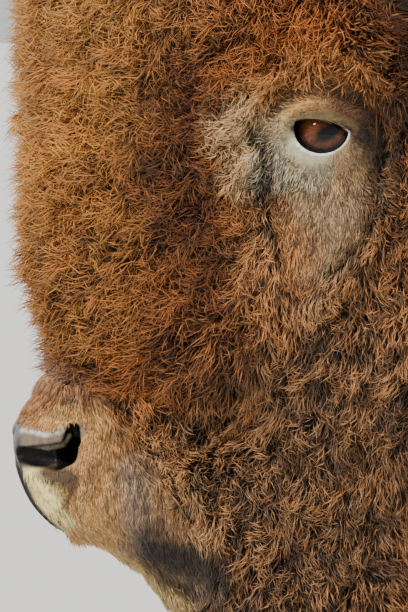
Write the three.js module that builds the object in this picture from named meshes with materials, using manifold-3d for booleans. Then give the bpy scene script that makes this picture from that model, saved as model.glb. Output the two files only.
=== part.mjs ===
// An adult American bison bull, life size, standing at rest with its head hanging in front of its chest.
// Millimetres, +Z up. The animal looks along -Y, and its left side is at +X.
//
// The coat's outer surface is a smooth union of soft masses (ellipsoids and tapered limbs). Rings of rays are
// cast from each part's own axis out to that surface, so a few rings carry a smooth closed body. The whole
// body is joined first, then parted into head, neck, trunk, tail, beard and legs with thin cuts.
import * as THREE from "three";
import Module from "manifold-3d";
import { mergeVertices } from "three/addons/utils/BufferGeometryUtils.js";

const wasm = await Module();
wasm.setup();

// ---- Driving dimensions ----
const gap = 0.5; // between neighbouring pieces
const eyeRadius = 24;
const eyeAt = { side: 133, y: -690, z: 1232 };
const hornRadius = 46; // at the base
const feet = {
  fore: { side: 168, left: -45, right: 40, length: 122, width: 60 },
  hind: { side: 150, left: 1425, right: 1345, length: 114, width: 53 },
};
const toeGap = 7;
const coronet = { front: 74, heel: 42, length: 110 }; // a hoof's upper edge: heights, and how far it runs
const sides = { torso: 28, head: 28, beard: 12, leg: 12, horn: 10, ear: 10, tail: 8, toe: 10, dewclaw: 6 };
const coat = { rump: 14, flank: 16, belly: 30, cape: 55, hump: 48, neck: 70, throat: 85, cheek: 42, muzzle: 4 };

// A point of the head, told from the eye: across from the middle, forward of the eye, and below it.
const face = (across, forward, down) => [across, eyeAt.y - forward, eyeAt.z - down];
const vector = (p) => new THREE.Vector3(...p);
const curve = (...points) => new THREE.CatmullRomCurve3(points.map(vector), false, "centripetal");

// ---- Soft masses ----
// A blob is an ellipsoid whose top leans back, and rear dips, by `lean` degrees. A limb is a tapered rod with
// round ends, squeezed sideways by `flat`. `depth` is the hair over it, or [at the start, at the end].
function blob(at, size, depth, { lean = 0, blend = 45 } = {}) {
  const turn = THREE.MathUtils.degToRad(lean);
  const [cos, sin] = [Math.cos(turn), Math.sin(turn)];
  const [rx, ry, rz] = size.map((r) => r + depth);
  const distance = (x, y, z) => {
    const dy = y - at[1];
    const dz = z - at[2];
    const px = (x - at[0]) / rx;
    const py = (dy * cos - dz * sin) / ry;
    const pz = (dy * sin + dz * cos) / rz;
    const near = Math.hypot(px, py, pz);
    const slope = Math.hypot(px / rx, py / ry, pz / rz);
    return slope < 1e-9 ? -Math.min(rx, ry, rz) : (near * (near - 1)) / slope;
  };
  return { distance, blend };
}

function limb(from, to, [r0, r1], depth, { flat = 1, blend = 35 } = {}) {
  const [c0, c1] = Array.isArray(depth) ? depth : [depth, depth];
  const axis = [0, 1, 2].map((k) => to[k] - from[k]);
  const lengthSquared = axis[0] ** 2 + axis[1] ** 2 + axis[2] ** 2;
  const distance = (x, y, z) => {
    const d = [x - from[0], y - from[1], z - from[2]];
    const along = (d[0] * axis[0] + d[1] * axis[1] + d[2] * axis[2]) / lengthSquared;
    const t = Math.min(1, Math.max(0, along));
    const off = Math.hypot((d[0] - axis[0] * t) / flat, d[1] - axis[1] * t, d[2] - axis[2] * t);
    return (off - (r0 + c0) * (1 - t) - (r1 + c1) * t) * Math.min(1, flat);
  };
  return { distance, blend };
}

// The surface of several masses, joined softly. A mass off the middle is there on both sides, as |x| is used.
const joined = (masses) => (x, y, z) => {
  let d = 1e9;
  for (const mass of masses) {
    const next = mass.distance(Math.abs(x), y, z);
    const h = Math.max(mass.blend - Math.abs(d - next), 0) / mass.blend;
    d = Math.min(d, next) - (h * h * mass.blend) / 4;
  }
  return d;
};

const torsoMasses = [
  // ribs, belly and chest
  blob([0, 560, 1040], [268, 660, 315], coat.flank),
  blob([0, 830, 955], [240, 480, 220], coat.belly, { lean: -5 }),
  blob([0, 10, 960], [222, 330, 255], coat.cape),
  // the hump and the slope behind it
  blob([0, 110, 1330], [140, 400, 395], coat.hump, { lean: 12, blend: 90 }),
  blob([0, 560, 1265], [160, 560, 215], coat.flank + 10, { lean: 19, blend: 90 }),
  // shoulder blade and upper arm
  blob([140, 10, 1150], [132, 215, 330], coat.cape, { lean: 14, blend: 80 }),
  blob([158, -20, 890], [86, 170, 165], coat.cape, { blend: 70 }),
  // loin, croup, hip and upper thigh
  blob([0, 1150, 1165], [180, 420, 165], coat.rump, { lean: 4, blend: 90 }),
  blob([0, 1380, 1130], [195, 235, 190], coat.rump, { lean: 8, blend: 90 }),
  blob([165, 1235, 1215], [42, 80, 60], coat.rump, { lean: 10, blend: 90 }),
  blob([108, 1370, 1040], [104, 225, 200], coat.rump, { lean: 12, blend: 90 }),
  // neck, crest and throat
  limb([0, -60, 1260], [0, -480, 1230], [265, 150], [coat.cape, coat.neck - 25], { flat: 0.82, blend: 90 }),
  limb([0, 40, 1540], [0, -520, 1345], [110, 95], [coat.hump, coat.neck - 25], { blend: 90 }),
  limb([0, -120, 950], [0, -470, 1100], [185, 115], coat.throat, { blend: 90 }),
];

const headMasses = [
  // braincase, forehead and bridge of the nose
  blob(face(0, -35, -85), [112, 125, 112], coat.cheek),
  limb(face(0, 38, -60), face(0, 62, 30), [90, 66], [60, 40], { flat: 1.13 }),
  limb(face(0, 62, 30), face(0, 132, 176), [62, 44], [30, 3], { flat: 1.05 }),
  limb(face(0, 0, 70), face(0, 82, 205), [92, 60], [34, 5]),
  // nose, upper lip, lower lip and jaw
  blob(face(0, 133, 243), [60, 71, 62], coat.muzzle, { blend: 24 }),
  limb(face(0, 148, 272), face(24, 138, 274), [38, 35], coat.muzzle, { blend: 16 }),
  limb(face(28, 116, 272), face(42, 46, 288), [36, 38], coat.muzzle, { blend: 24 }),
  limb(face(0, 108, 308), face(0, 30, 322), [23, 42], [coat.muzzle, 14], { flat: 1.2, blend: 16 }),
  limb(face(0, 30, 310), face(0, -100, 165), [44, 78], [26, 55], { flat: 0.95 }),
  blob(face(66, -70, 110), [46, 85, 105], coat.cheek),
  // eye socket, the ridge below it, and the horn's root
  limb(face(66, -10, -2), face(112, -2, 0), [48, 29], [8, 3], { blend: 30 }),
  limb(face(92, 0, 46), face(56, 72, 140), [34, 38], [14, 16], { blend: 40 }),
  limb(face(88, -58, -105), face(135, -60, -122), [44, 44], [30, 22], { blend: 40 }),
  // hair alone: the mop over the forehead, the crown between the horns, and the brow
  blob(face(0, 60, -10), [126, 141, 150], 0, { blend: 40 }),
  blob(face(0, 92, 92), [102, 107, 102], 0, { blend: 40 }),
  blob(face(0, 44, -120), [150, 146, 130], 0, { blend: 60 }),
  limb(face(60, -20, -115), face(116, -34, -78), [60, 28], 0, { blend: 40 }),
];

const beardMasses = [
  limb(face(0, -2, 330), face(0, -4, 470), [70, 66], 0, { flat: 0.85, blend: 40 }),
  limb(face(0, -4, 470), face(0, -20, 596), [66, 34], 0, { flat: 0.8, blend: 40 }),
  limb(face(0, -50, 270), face(0, -60, 430), [88, 74], 0, { flat: 0.95, blend: 60 }),
];

// A leg's masses from its body end down to the pastern. `y` is where its foot stands.
const foreleg = ({ side, length }, y) => [
  blob([side - 10, 15 + y * 0.2, 850], [74, 135, 150], coat.cape - 12),
  limb([side - 4, 10 + y * 0.3, 800], [side, y * 0.7, 600], [88, 66], [62, 68], { flat: 0.86 }),
  limb([side, y * 0.7, 600], [side, y * 0.9 - 4, 455], [62, 46], [66, 40], { flat: 0.9 }),
  limb([side, y * 0.9 - 4, 455], [side, y - 4, 395], [46, 42], [22, 8]),
  limb([side, y - 4, 395], [side, y + 2, 185], [36, 32], 7),
  limb([side, y + 2, 185], [side, y + 4, 140], [42, 42], 8, { flat: 1.06 }),
  limb([side, y + 4, 140], [side, y - 8, 60], [38, length * 0.38], 6, { flat: 1.12 }),
];

const hindleg = ({ side, length }, y) => [
  blob([side - 40, y - 40, 985], [94, 185, 230], coat.rump, { lean: 12, blend: 60 }),
  blob([side - 16, y - 160, 850], [66, 95, 130], coat.rump, { lean: 14, blend: 60 }),
  limb([side - 14, y - 70, 800], [side - 6, y + 40, 600], [96, 52], coat.rump + 4, { flat: 0.72, blend: 50 }),
  limb([side - 6, y + 46, 640], [side - 4, y + 62, 545], [34, 42], coat.rump - 2, { flat: 0.8, blend: 40 }),
  limb([side - 4, y + 50, 545], [side - 2, y + 26, 470], [50, 40], coat.rump - 4, { flat: 0.86, blend: 40 }),
  limb([side - 2, y + 26, 470], [side, y + 8, 195], [38, 33], 7, { flat: 0.9 }),
  limb([side, y + 8, 195], [side, y + 8, 145], [41, 41], 8, { flat: 1.04 }),
  limb([side, y + 8, 145], [side, y - 6, 60], [37, length * 0.38], 6, { flat: 1.1 }),
];

// ---- Rings of rays ----
// How far the surface lies from a point inside it, along a unit direction.
function reach(field, from, along) {
  const at = (r) => field(from.x + along.x * r, from.y + along.y * r, from.z + along.z * r);
  let inside = 0;
  let outside = 1;
  for (let d = at(outside); d < 0; d = at(outside)) {
    inside = outside;
    outside += Math.max(1.5, -0.7 * d);
  }
  for (let halving = 0; halving < 16; halving++) {
    const middle = (inside + outside) / 2;
    if (at(middle) > 0) outside = middle;
    else inside = middle;
  }
  return outside;
}

// A closed ring in the plane across `tangent`, whose points crowd where the section is long and narrow.
function ringRound(field, centre, tangent, count) {
  const across = new THREE.Vector3(1, 0, 0).addScaledVector(tangent, -tangent.x).normalize();
  const up = new THREE.Vector3().crossVectors(across, tangent);
  const wide = reach(field, centre, across);
  const high = reach(field, centre, up);
  const low = reach(field, centre, up.clone().negate());
  return Array.from({ length: count }, (_, i) => {
    const turn = (2 * Math.PI * i) / count;
    const along = across.clone().multiplyScalar(wide * Math.sin(turn));
    along.addScaledVector(up, (Math.cos(turn) > 0 ? high : low) * Math.cos(turn)).normalize();
    return centre.clone().addScaledVector(along, reach(field, centre, along));
  });
}

// A closed body round a curve that runs inside a surface, with a point at each end.
function wrapped(field, axis, stations, count) {
  const rings = stations.map((t) => ringRound(field, axis.getPointAt(t), axis.getTangentAt(t), count));
  const pole = (t, way) => {
    const from = axis.getPointAt(t);
    const along = axis.getTangentAt(t).multiplyScalar(way);
    return from.clone().addScaledVector(along, reach(field, from, along));
  };
  return loft(rings, pole(stations[0], -1), pole(stations.at(-1), 1));
}

const middleOf = (ring) => ring.reduce((sum, p) => sum.add(p), new THREE.Vector3()).divideScalar(ring.length);

// A closed geometry through rings of equally many points.
function loft(rings, firstPole = middleOf(rings[0]), lastPole = middleOf(rings.at(-1))) {
  const count = rings[0].length;
  const points = [firstPole, ...rings.flat(), lastPole];
  const last = points.length - 1;
  const faces = [];
  for (let i = 0; i < count; i++) {
    const j = (i + 1) % count;
    faces.push([0, 1 + j, 1 + i], [last, last - count + i, last - count + j]);
    for (let a = 1; a + 2 * count <= last; a += count) {
      const [p, q, r, s] = [a + i, a + j, a + count + j, a + count + i];
      const straight = points[p].distanceTo(points[r]) < points[q].distanceTo(points[s]);
      faces.push(...(straight ? [[p, q, r], [p, r, s]] : [[q, r, s], [q, s, p]]));
    }
  }
  const geometry = new THREE.BufferGeometry().setFromPoints(points);
  geometry.setIndex(faces.flat());
  return geometry;
}

const evenly = (count, from = 0, to = 1) =>
  Array.from({ length: count }, (_, i) => from + ((to - from) * i) / (count - 1));

// ---- Geometry to solid and back, and cuts ----
function solidOf(geometry) {
  const bare = new THREE.BufferGeometry().setAttribute("position", geometry.getAttribute("position"));
  const merged = mergeVertices(bare.setIndex(geometry.index), 1e-3);
  const triVerts = new Uint32Array(merged.index.array);
  const made = () =>
    new wasm.Manifold(new wasm.Mesh({ numProp: 3, vertProperties: merged.attributes.position.array, triVerts }));
  const solid = made();
  if (solid.volume() > 0) return solid;
  for (let i = 0; i < triVerts.length; i += 3) {
    [triVerts[i + 1], triVerts[i + 2]] = [triVerts[i + 2], triVerts[i + 1]];
  }
  return made();
}

function geometryOf(solid) {
  const { vertProperties, triVerts } = solid.getMesh();
  const geometry = new THREE.BufferGeometry();
  geometry.setAttribute("position", new THREE.BufferAttribute(new Float32Array(vertProperties), 3));
  geometry.setIndex(new THREE.BufferAttribute(new Uint32Array(triVerts), 1));
  geometry.computeVertexNormals();
  return geometry;
}

// Both sides of a plane through a point, a gap apart: [the side its normal points to, the other].
function parted(solid, through, normal, apart = gap) {
  const n = vector(normal).normalize();
  const offset = n.dot(vector(through));
  return [
    solid.trimByPlane(n.toArray(), offset + apart / 2),
    solid.trimByPlane(n.clone().negate().toArray(), apart / 2 - offset),
  ];
}

// ---- Torso, head and beard ----
const whole = joined([...torsoMasses, ...headMasses]);

// The neck's last rings take in the back of the head, up to a seam level with the jaw joint. The front of the
// head has rings of its own, across its long axis, in a field that ends a little behind the seam.
const seam = { through: face(0, -62, 0), normal: [0, -1, 0], overlap: 1, behind: 60 };
function torsoSolid() {
  const axis = curve([0, 1590, 1100], [0, 1200, 1090], [0, 600, 1060], [0, 60, 1160], [0, -330, 1220], [0, -640, 1195]);
  const stations = [0, 0.01, 0.028, 0.055, ...evenly(15, 0.09, 0.74), ...evenly(9, 0.77, 1)];
  return solidOf(wrapped(whole, axis, stations, sides.torso));
}

function headSolid() {
  const axis = curve(face(0, -52, -175), face(0, 22, 88), face(0, 96, 351));
  const stations = [0, 0.03, ...evenly(11, 0.08, 0.66), ...evenly(12, 0.69, 0.95), 0.97, 0.985, 1];
  const front = (x, y, z) => Math.max(whole(x, y, z), y - seam.through[1] - seam.behind);
  return solidOf(wrapped(front, axis, stations, sides.head));
}

function beardSolid() {
  const axis = curve(face(0, -14, 330), face(0, -22, 470), face(0, -20, 606));
  return solidOf(wrapped(joined(beardMasses), axis, evenly(8), sides.beard));
}

// ---- Legs, hooves and dewclaws, modelled on the left ----
function legSolid(kind, foot, y) {
  const fore = kind === "fore";
  const masses = fore ? foreleg(foot, y) : hindleg(foot, y);
  const x = foot.side;
  const axis = fore
    ? curve([x - 10, 10, 930], [x - 4, y * 0.5, 700], [x, y * 0.9, 430], [x, y + 2, 160], [x, y - 6, 64])
    : curve([x - 44, y - 50, 1080], [x - 12, y - 60, 800], [x - 5, y + 40, 560], [x, y + 8, 180], [x, y - 4, 64]);
  const solid = solidOf(wrapped(joined(masses), axis, evenly(fore ? 18 : 22), sides.leg));
  return parted(solid, ...coronetPlane(y))[0];
}

// The coronet, where hair meets horn, slopes down from the front of the foot to the heel.
function coronetPlane(y) {
  const slope = (coronet.front - coronet.heel) / coronet.length;
  return [[0, y, (coronet.front + coronet.heel) / 2], [0, slope, 1]];
}

// One toe: a half-moon in plan, flat below, whose wall leans back up to the coronet.
function toeSolid(foot, y, outer) {
  const way = outer ? 1 : -1;
  const flatInside = 0.18; // how far the inner wall is cut off its round, as a share of the toe's half width
  const rings = [0, 7, 55, coronet.front * 1.4].map((z) => {
    const shrink = 1 - z / 760 - (z === 0 ? 0.04 : 0);
    return Array.from({ length: sides.toe }, (_, i) => {
      const turn = (2 * Math.PI * (i + 0.5)) / sides.toe;
      const bulge = (Math.max(Math.sin(turn), -flatInside) + flatInside) / (1 + flatInside);
      const back = (-foot.length / 2) * Math.cos(turn) * shrink;
      return new THREE.Vector3(foot.side + way * (toeGap / 2 + foot.width * shrink * bulge), y - 14 + back + 0.3 * z, z);
    });
  });
  return parted(solidOf(loft(rings)), ...coronetPlane(y))[1];
}

function dewclawSolid(foot, y, outer, grow) {
  const way = outer ? 1 : -1;
  const axis = curve([foot.side + way * 20, y + 34, 128], [foot.side + way * 26, y + 66, 92]);
  const mass = limb(axis.points[0].toArray(), axis.points[1].toArray(), [19, 10], grow);
  return solidOf(wrapped(joined([mass]), axis, evenly(3), sides.dewclaw));
}

// ---- Horns, ears, eyes and tail ----
function hornSolid(grow) {
  const axis = curve(
    face(100, -62, -118),
    face(180, -64, -116),
    face(256, -60, -136),
    face(298, -52, -186),
    face(304, -42, -238),
    face(284, -34, -292),
  );
  const rings = evenly(13).map((t) => {
    const radius = hornRadius * (1 - t) ** 0.62 * (1 + 0.06 * Math.exp(-t * 12)) + 3 * t + grow;
    return circleRound(axis, t, radius, radius, sides.horn);
  });
  return solidOf(loft(rings));
}

// An ellipse across an axis, `tall` by `deep` in radius.
function circleRound(axis, t, tall, deep, count, cup = 0) {
  const centre = axis.getPointAt(t);
  const tangent = axis.getTangentAt(t);
  const ahead = new THREE.Vector3(0, -1, 0).addScaledVector(tangent, tangent.y).normalize();
  const up = new THREE.Vector3().crossVectors(ahead, tangent);
  return Array.from({ length: count }, (_, i) => {
    const turn = (2 * Math.PI * i) / count;
    const hollow = cup * (1 - Math.cos(turn) ** 2 * 2);
    return centre
      .clone()
      .addScaledVector(up, tall * Math.cos(turn))
      .addScaledVector(ahead, deep * Math.sin(turn) - hollow);
  });
}

// A leaf, cupped forwards, with hair filling it.
function earSolid(grow) {
  const axis = curve(face(112, -104, -66), face(188, -122, -58), face(250, -146, -34));
  const rings = evenly(8).map((t) => {
    const tall = 37 * Math.sin(Math.PI * (0.12 + 0.86 * t)) ** 0.75;
    return circleRound(axis, t, tall + grow, 11 - 4 * t + grow, sides.ear, 7);
  });
  return solidOf(loft(rings));
}

function eyeSolid(grow) {
  const ball = new THREE.SphereGeometry(eyeRadius + grow, 16, 10);
  ball.rotateZ(Math.PI / 2);
  ball.translate(...face(eyeAt.side, 0, 0));
  return solidOf(ball);
}

const tailRoot = [0, 1600, 1205];
function tailSolid(grow) {
  const axis = curve(tailRoot, [0, 1668, 1160], [0, 1690, 1050], [0, 1686, 860]);
  const rings = evenly(12).map((t) => circleRound(axis, t, 34 - 14 * t + grow, 32 - 14 * t + grow, sides.tail));
  return solidOf(loft(rings));
}

function tailTuftSolid() {
  const axis = curve([0, 1686, 860 - gap], [0, 1684, 760], [0, 1678, 560]);
  const rings = evenly(9).map((t) => {
    const radius = 20 + 30 * Math.sin(Math.PI * Math.min(1, t * 1.02)) ** 0.8 - 14 * t;
    return circleRound(axis, t, radius, radius * 0.9, sides.tail);
  });
  return solidOf(loft(rings));
}

// ---- The whole body, then its parts ----
// A cutter: an outline across the body (side and height), carried from y0 to y1, on one side of the animal.
function cutter(outline, y0, y1) {
  const shape = new THREE.Shape(outline.map(([x, z]) => new THREE.Vector2(x, z)));
  const block = new THREE.ExtrudeGeometry(shape, { depth: y1 - y0, bevelEnabled: false });
  block.rotateX(Math.PI / 2).translate(0, y1, 0);
  return solidOf(block);
}

// What a leg's cutter takes: all below a line that climbs outwards over the leg's root.
const belowLine = ([x0, z0], [x1, z1], raise = 0) => [
  [x0 - raise, -50],
  [x1, -50],
  [x1, z1 + raise],
  [x0 - raise, z0 + raise],
];
const legCuts = {
  fore: { line: [[15, 570], [440, 882]], from: -320, to: 420 },
  hind: { line: [[12, 712], [400, 880]], from: 1040, to: 1760 },
};

// Colour, roughness and metalness of each finish.
const finishes = {
  mop: [0x7a4b25, 0.95, 0],
  mane: [0x5b3a20, 0.95, 0],
  rear: [0x6e4b2f, 0.9, 0],
  legs: [0x2f2018, 0.9, 0],
  horn: [0x2a2522, 0.45, 0],
  hoof: [0x1f1b19, 0.5, 0],
  eye: [0x2a1410, 0.08, 0],
};
const group = new THREE.Group();
function add(name, finish, solid) {
  const [color, roughness, metalness] = finishes[finish];
  const mesh = new THREE.Mesh(geometryOf(solid), new THREE.MeshStandardMaterial({ color, roughness, metalness }));
  mesh.name = name;
  group.add(mesh);
}

// The left side's pieces are mirrored for the right one.
const onSide = (solid, side) => (side === "left" ? solid : solid.mirror([1, 0, 0]));
const bothSides = ["left", "right"];

const legs = [];
for (const [kind, foot] of Object.entries(feet)) {
  for (const side of bothSides) {
    let leg = legSolid(kind, foot, foot[side]);
    for (const which of ["inner", "outer"]) {
      const outer = which === "outer";
      add(`hoof_${kind}_${side}_${which}`, "hoof", onSide(toeSolid(foot, foot[side], outer), side));
      add(`dewclaw_${kind}_${side}_${which}`, "hoof", onSide(dewclawSolid(foot, foot[side], outer, 0), side));
      leg = leg.subtract(dewclawSolid(foot, foot[side], outer, gap));
    }
    legs.push({ name: `${kind}leg_${side}`, kind, side, solid: onSide(leg, side) });
  }
}

// Flesh and coat as one body, with sockets a gap wider than the pieces that stand in them.
const frontOfHead = parted(headSolid(), seam.through, seam.normal, -seam.overlap)[0];
const torso = parted(torsoSolid(), seam.through, seam.normal, -seam.overlap)[1];
let body = [torso, frontOfHead, beardSolid(), ...legs.map((leg) => leg.solid)].reduce((a, b) => a.add(b));
for (const side of bothSides) {
  add(`eye_${side}`, "eye", onSide(eyeSolid(0), side));
  add(`horn_${side}`, "horn", onSide(hornSolid(0), side));
  add(`ear_${side}`, "mane", onSide(earSolid(0).subtract(hornSolid(gap)), side));
  for (const socket of [eyeSolid(gap), hornSolid(gap), earSolid(gap)]) {
    body = body.subtract(onSide(socket, side));
  }
}
body = body.subtract(tailSolid(gap));
add("tail", "rear", tailSolid(0));
add("tail_tuft", "legs", tailTuftSolid());

for (const { name, kind, side } of legs) {
  const { line, from, to } = legCuts[kind];
  add(name, "legs", body.intersect(onSide(cutter(belowLine(...line), from, to), side)));
  body = body.subtract(onSide(cutter(belowLine(...line, gap), from - gap, to + gap), side));
}
const [ahead, behind] = parted(body, face(0, -150, -60), [0, -1, -0.12]);
const [beard, head] = parted(ahead, face(0, 60, 376), [0, 0.45, -1]);
const [neck, trunk] = parted(behind, [0, -230, 1200], [0, -1, -0.2]);
add("head", "mop", head);
add("beard", "legs", beard);
add("neck", "mane", neck);
add("trunk", "rear", trunk);

// The origin is on the floor, under the middle of the animal's length.
const box = new THREE.Box3().setFromObject(group);
group.position.set(0, -(box.min.y + box.max.y) / 2, -box.min.z);

export default group;
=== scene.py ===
import math
import time

import bpy
import numpy as np
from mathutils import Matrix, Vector


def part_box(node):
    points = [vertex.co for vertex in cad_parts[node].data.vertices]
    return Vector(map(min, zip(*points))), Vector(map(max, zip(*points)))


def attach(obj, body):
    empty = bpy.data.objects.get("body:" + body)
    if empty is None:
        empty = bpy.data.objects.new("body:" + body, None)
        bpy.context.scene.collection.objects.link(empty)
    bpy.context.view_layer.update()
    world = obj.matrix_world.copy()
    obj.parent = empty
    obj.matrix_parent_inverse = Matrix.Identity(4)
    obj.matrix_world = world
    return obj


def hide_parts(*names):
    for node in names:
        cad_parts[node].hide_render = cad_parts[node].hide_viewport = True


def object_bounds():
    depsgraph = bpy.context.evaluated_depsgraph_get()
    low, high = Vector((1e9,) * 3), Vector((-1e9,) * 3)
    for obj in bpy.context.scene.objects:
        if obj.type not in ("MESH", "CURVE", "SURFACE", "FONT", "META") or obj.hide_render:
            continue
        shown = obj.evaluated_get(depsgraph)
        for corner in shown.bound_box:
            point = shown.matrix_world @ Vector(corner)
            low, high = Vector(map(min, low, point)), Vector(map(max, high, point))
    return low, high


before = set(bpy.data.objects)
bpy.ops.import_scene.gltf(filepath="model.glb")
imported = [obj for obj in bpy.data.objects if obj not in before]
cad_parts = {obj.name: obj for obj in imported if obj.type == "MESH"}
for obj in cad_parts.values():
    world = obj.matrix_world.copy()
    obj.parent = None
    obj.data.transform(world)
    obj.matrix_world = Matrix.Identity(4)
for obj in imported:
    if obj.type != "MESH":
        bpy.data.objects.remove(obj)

started = time.time()
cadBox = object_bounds()


def say(words):
    print(f"[{time.time() - started:5.1f} s] {words}", flush=True)


def middleOf(node):
    low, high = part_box(node)
    return np.array((low + high) / 2)


eye = middleOf("eye_left")
eyeRadius = (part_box("eye_left")[1].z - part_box("eye_left")[0].z) / 2
shiftY = eye[1] + 0.690  # where the withers are; body masses are placed from there


def face(across, forward, down):  # a point of the head, told from the eye
    return np.array((across, eye[1] - forward, eye[2] - down))


def body(x, y, z):  # a point of the body, told from the withers
    return np.array((x, y + shiftY, z))


def newObject(name, data):
    made = bpy.data.objects.new(name, data)
    bpy.context.scene.collection.objects.link(made)
    return made


hoofLength = {"fore": 0.122, "hind": 0.114}


def footAt(kind, side):  # where a foot stands: across, and along
    inner, outside = (middleOf(f"hoof_{kind}_{side}_{which}") for which in ("inner", "outer"))
    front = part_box(f"hoof_{kind}_{side}_inner")[0].y
    return (inner[0] + outside[0]) / 2, front + 0.014 + 0.48 * hoofLength[kind]


# Camera, floor and light.
view = {
    "turn": 15.0,  # degrees from square on, towards the front
    "rise": 2.5,
    "away": 5.0,
    "width": 0.75e-3,  # of one step across the view, at the eye
    "aimLeft": 118,  # from the eye to the middle of the view, in those steps
    "aimDown": 171,
    "long": 612,  # the view's height, in the same steps
}


def makeCamera():
    turn, rise = math.radians(view["turn"]), math.radians(view["rise"])
    back = Vector((math.cos(turn) * math.cos(rise), -math.sin(turn) * math.cos(rise), math.sin(rise)))
    right = Vector((math.sin(turn), math.cos(turn), 0))
    up = back.cross(right)
    eyeFront = Vector(eye) + eyeRadius * Vector((math.cos(turn), -math.sin(turn), 0))
    aim = eyeFront - right * view["aimLeft"] * view["width"] - up * view["aimDown"] * view["width"]
    camera = bpy.data.cameras.new("camera")
    camera.sensor_width = 36
    camera.lens = 36 * view["away"] / (view["long"] * view["width"])
    camera.clip_end = 500
    seen = newObject("camera", camera)
    seen.location = aim + back * view["away"]
    seen.rotation_euler = back.to_track_quat("Z", "Y").to_euler()
    bpy.context.scene.camera = seen


lighting = {
    "key": {"from": (0.62, -0.72, 0.85), "energy": 4.4, "size": 14, "colour": (1.0, 0.95, 0.86)},
    "fill": {"from": (-0.9, -0.2, 0.5), "energy": 0.9, "size": 60, "colour": (0.88, 0.93, 1.0)},
    "back": {"from": (-0.2, 0.9, 0.8), "energy": 1.0, "size": 40, "colour": (1.0, 0.98, 0.95)},
    "horizon": (0.74, 0.74, 0.73),  # pale behind the floor's edge, darker overhead
    "above": (0.40, 0.42, 0.45),
    "fade": (0.12, 0.45),  # the heights between which the sky darkens
    "floor": {"reach": 300, "colour": (0.74, 0.74, 0.72, 1), "roughness": 0.9},
}


def makeStage():
    reach = lighting["floor"]["reach"]
    mesh = bpy.data.meshes.new("floor")
    corners = [(-reach, -reach, 0), (reach, -reach, 0), (reach, reach, 0), (-reach, reach, 0)]
    mesh.from_pydata(corners, [], [(0, 1, 2, 3)])
    floor = newObject("floor", mesh)
    material, shader = newMaterial("floorPaint")[:2]
    shader.inputs["Base Color"].default_value = lighting["floor"]["colour"]
    shader.inputs["Roughness"].default_value = lighting["floor"]["roughness"]
    mesh.materials.append(material)
    for name in ("key", "fill", "back"):
        lamp = lighting[name]
        light = bpy.data.lights.new(name, "SUN")
        light.energy = lamp["energy"]
        light.angle = math.radians(lamp["size"])
        light.color = lamp["colour"]
        newObject(name, light).rotation_euler = Vector(lamp["from"]).to_track_quat("Z", "Y").to_euler()
    world = bpy.data.worlds.new("studio")
    world.use_nodes = True
    tree = world.node_tree
    background = tree.nodes["Background"]
    coordinates = tree.nodes.new("ShaderNodeTexCoord")
    parts = tree.nodes.new("ShaderNodeSeparateXYZ")
    link(tree, coordinates.outputs["Generated"], parts.inputs["Vector"])
    stops = list(zip(lighting["fade"], (lighting["horizon"], lighting["above"])))
    link(tree, rampNode(tree, parts.outputs["Z"], stops), background.inputs["Color"])
    bpy.context.scene.world = world


# Helpers for node materials.
def newMaterial(name):
    material = bpy.data.materials.new(name)
    material.use_nodes = True
    tree = material.node_tree
    return material, tree.nodes["Principled BSDF"], tree


def link(tree, a, b):
    tree.links.new(a, b)


def noiseNode(tree, scale, detail=3.0, roughness=0.55, stretch=(1, 1, 1)):
    coordinates = tree.nodes.new("ShaderNodeTexCoord")
    mapping = tree.nodes.new("ShaderNodeMapping")
    mapping.inputs["Scale"].default_value = stretch
    noise = tree.nodes.new("ShaderNodeTexNoise")
    noise.inputs["Scale"].default_value = scale
    noise.inputs["Detail"].default_value = detail
    noise.inputs["Roughness"].default_value = roughness
    link(tree, coordinates.outputs["Object"], mapping.inputs["Vector"])
    link(tree, mapping.outputs["Vector"], noise.inputs["Vector"])
    return noise


def attributeNode(tree, name):
    node = tree.nodes.new("ShaderNodeAttribute")
    node.attribute_name = name
    return node


def mathNode(tree, operation, a, b=None, c=None):
    node = tree.nodes.new("ShaderNodeMath")
    node.operation = operation
    for socket, value in zip(node.inputs, (a, b, c)):
        if value is None:
            continue
        if isinstance(value, (int, float)):
            socket.default_value = value
        else:
            link(tree, value, socket)
    return node.outputs[0]


def rampNode(tree, value, stops):  # a colour for each value; stops are (value, colour)
    ramp = tree.nodes.new("ShaderNodeValToRGB")
    ends = ramp.color_ramp.elements
    for end, (place, tone) in zip(ends, (stops[0], stops[-1])):
        end.position = place
        end.color = (*tone, 1)
    for place, tone in stops[1:-1]:
        ends.new(place).color = (*tone, 1)
    link(tree, value, ramp.inputs["Fac"])
    return ramp.outputs["Color"]


def darkenedBy(tree, tone, other, much):  # one colour multiplied by another
    mix = tree.nodes.new("ShaderNodeMix")
    mix.data_type, mix.blend_type = "RGBA", "MULTIPLY"
    if isinstance(much, float):
        mix.inputs["Factor"].default_value = much
    else:
        link(tree, much, mix.inputs["Factor"])
    link(tree, tone, mix.inputs["A"])
    link(tree, other, mix.inputs["B"])
    return mix.outputs["Result"]


def rangeNode(tree, value, low, high, name="To"):  # a value spread over another range
    node = tree.nodes.new("ShaderNodeMapRange")
    node.inputs[f"{name} Min"].default_value = low
    node.inputs[f"{name} Max"].default_value = high
    link(tree, value, node.inputs["Value"])
    return node.outputs["Result"]


def bumpFrom(tree, shader, height, distance, strength=1.0):
    bump = tree.nodes.new("ShaderNodeBump")
    bump.inputs["Distance"].default_value = distance
    bump.inputs["Strength"].default_value = strength
    link(tree, height, bump.inputs["Height"])
    link(tree, bump.outputs["Normal"], shader.inputs["Normal"])
    return bump


# Soft masses: the coat's outer surface, as the solids have it.
# A mass on side 0 has its mirror image too; "blend" is how softly it joins the others.
def blob(centre, size, lean=0.0, blend=0.045, side=0):
    turn = math.radians(lean)
    return {"kind": "blob", "at": centre, "size": size, "cos": math.cos(turn), "sin": math.sin(turn),
            "blend": blend, "side": side}


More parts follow.
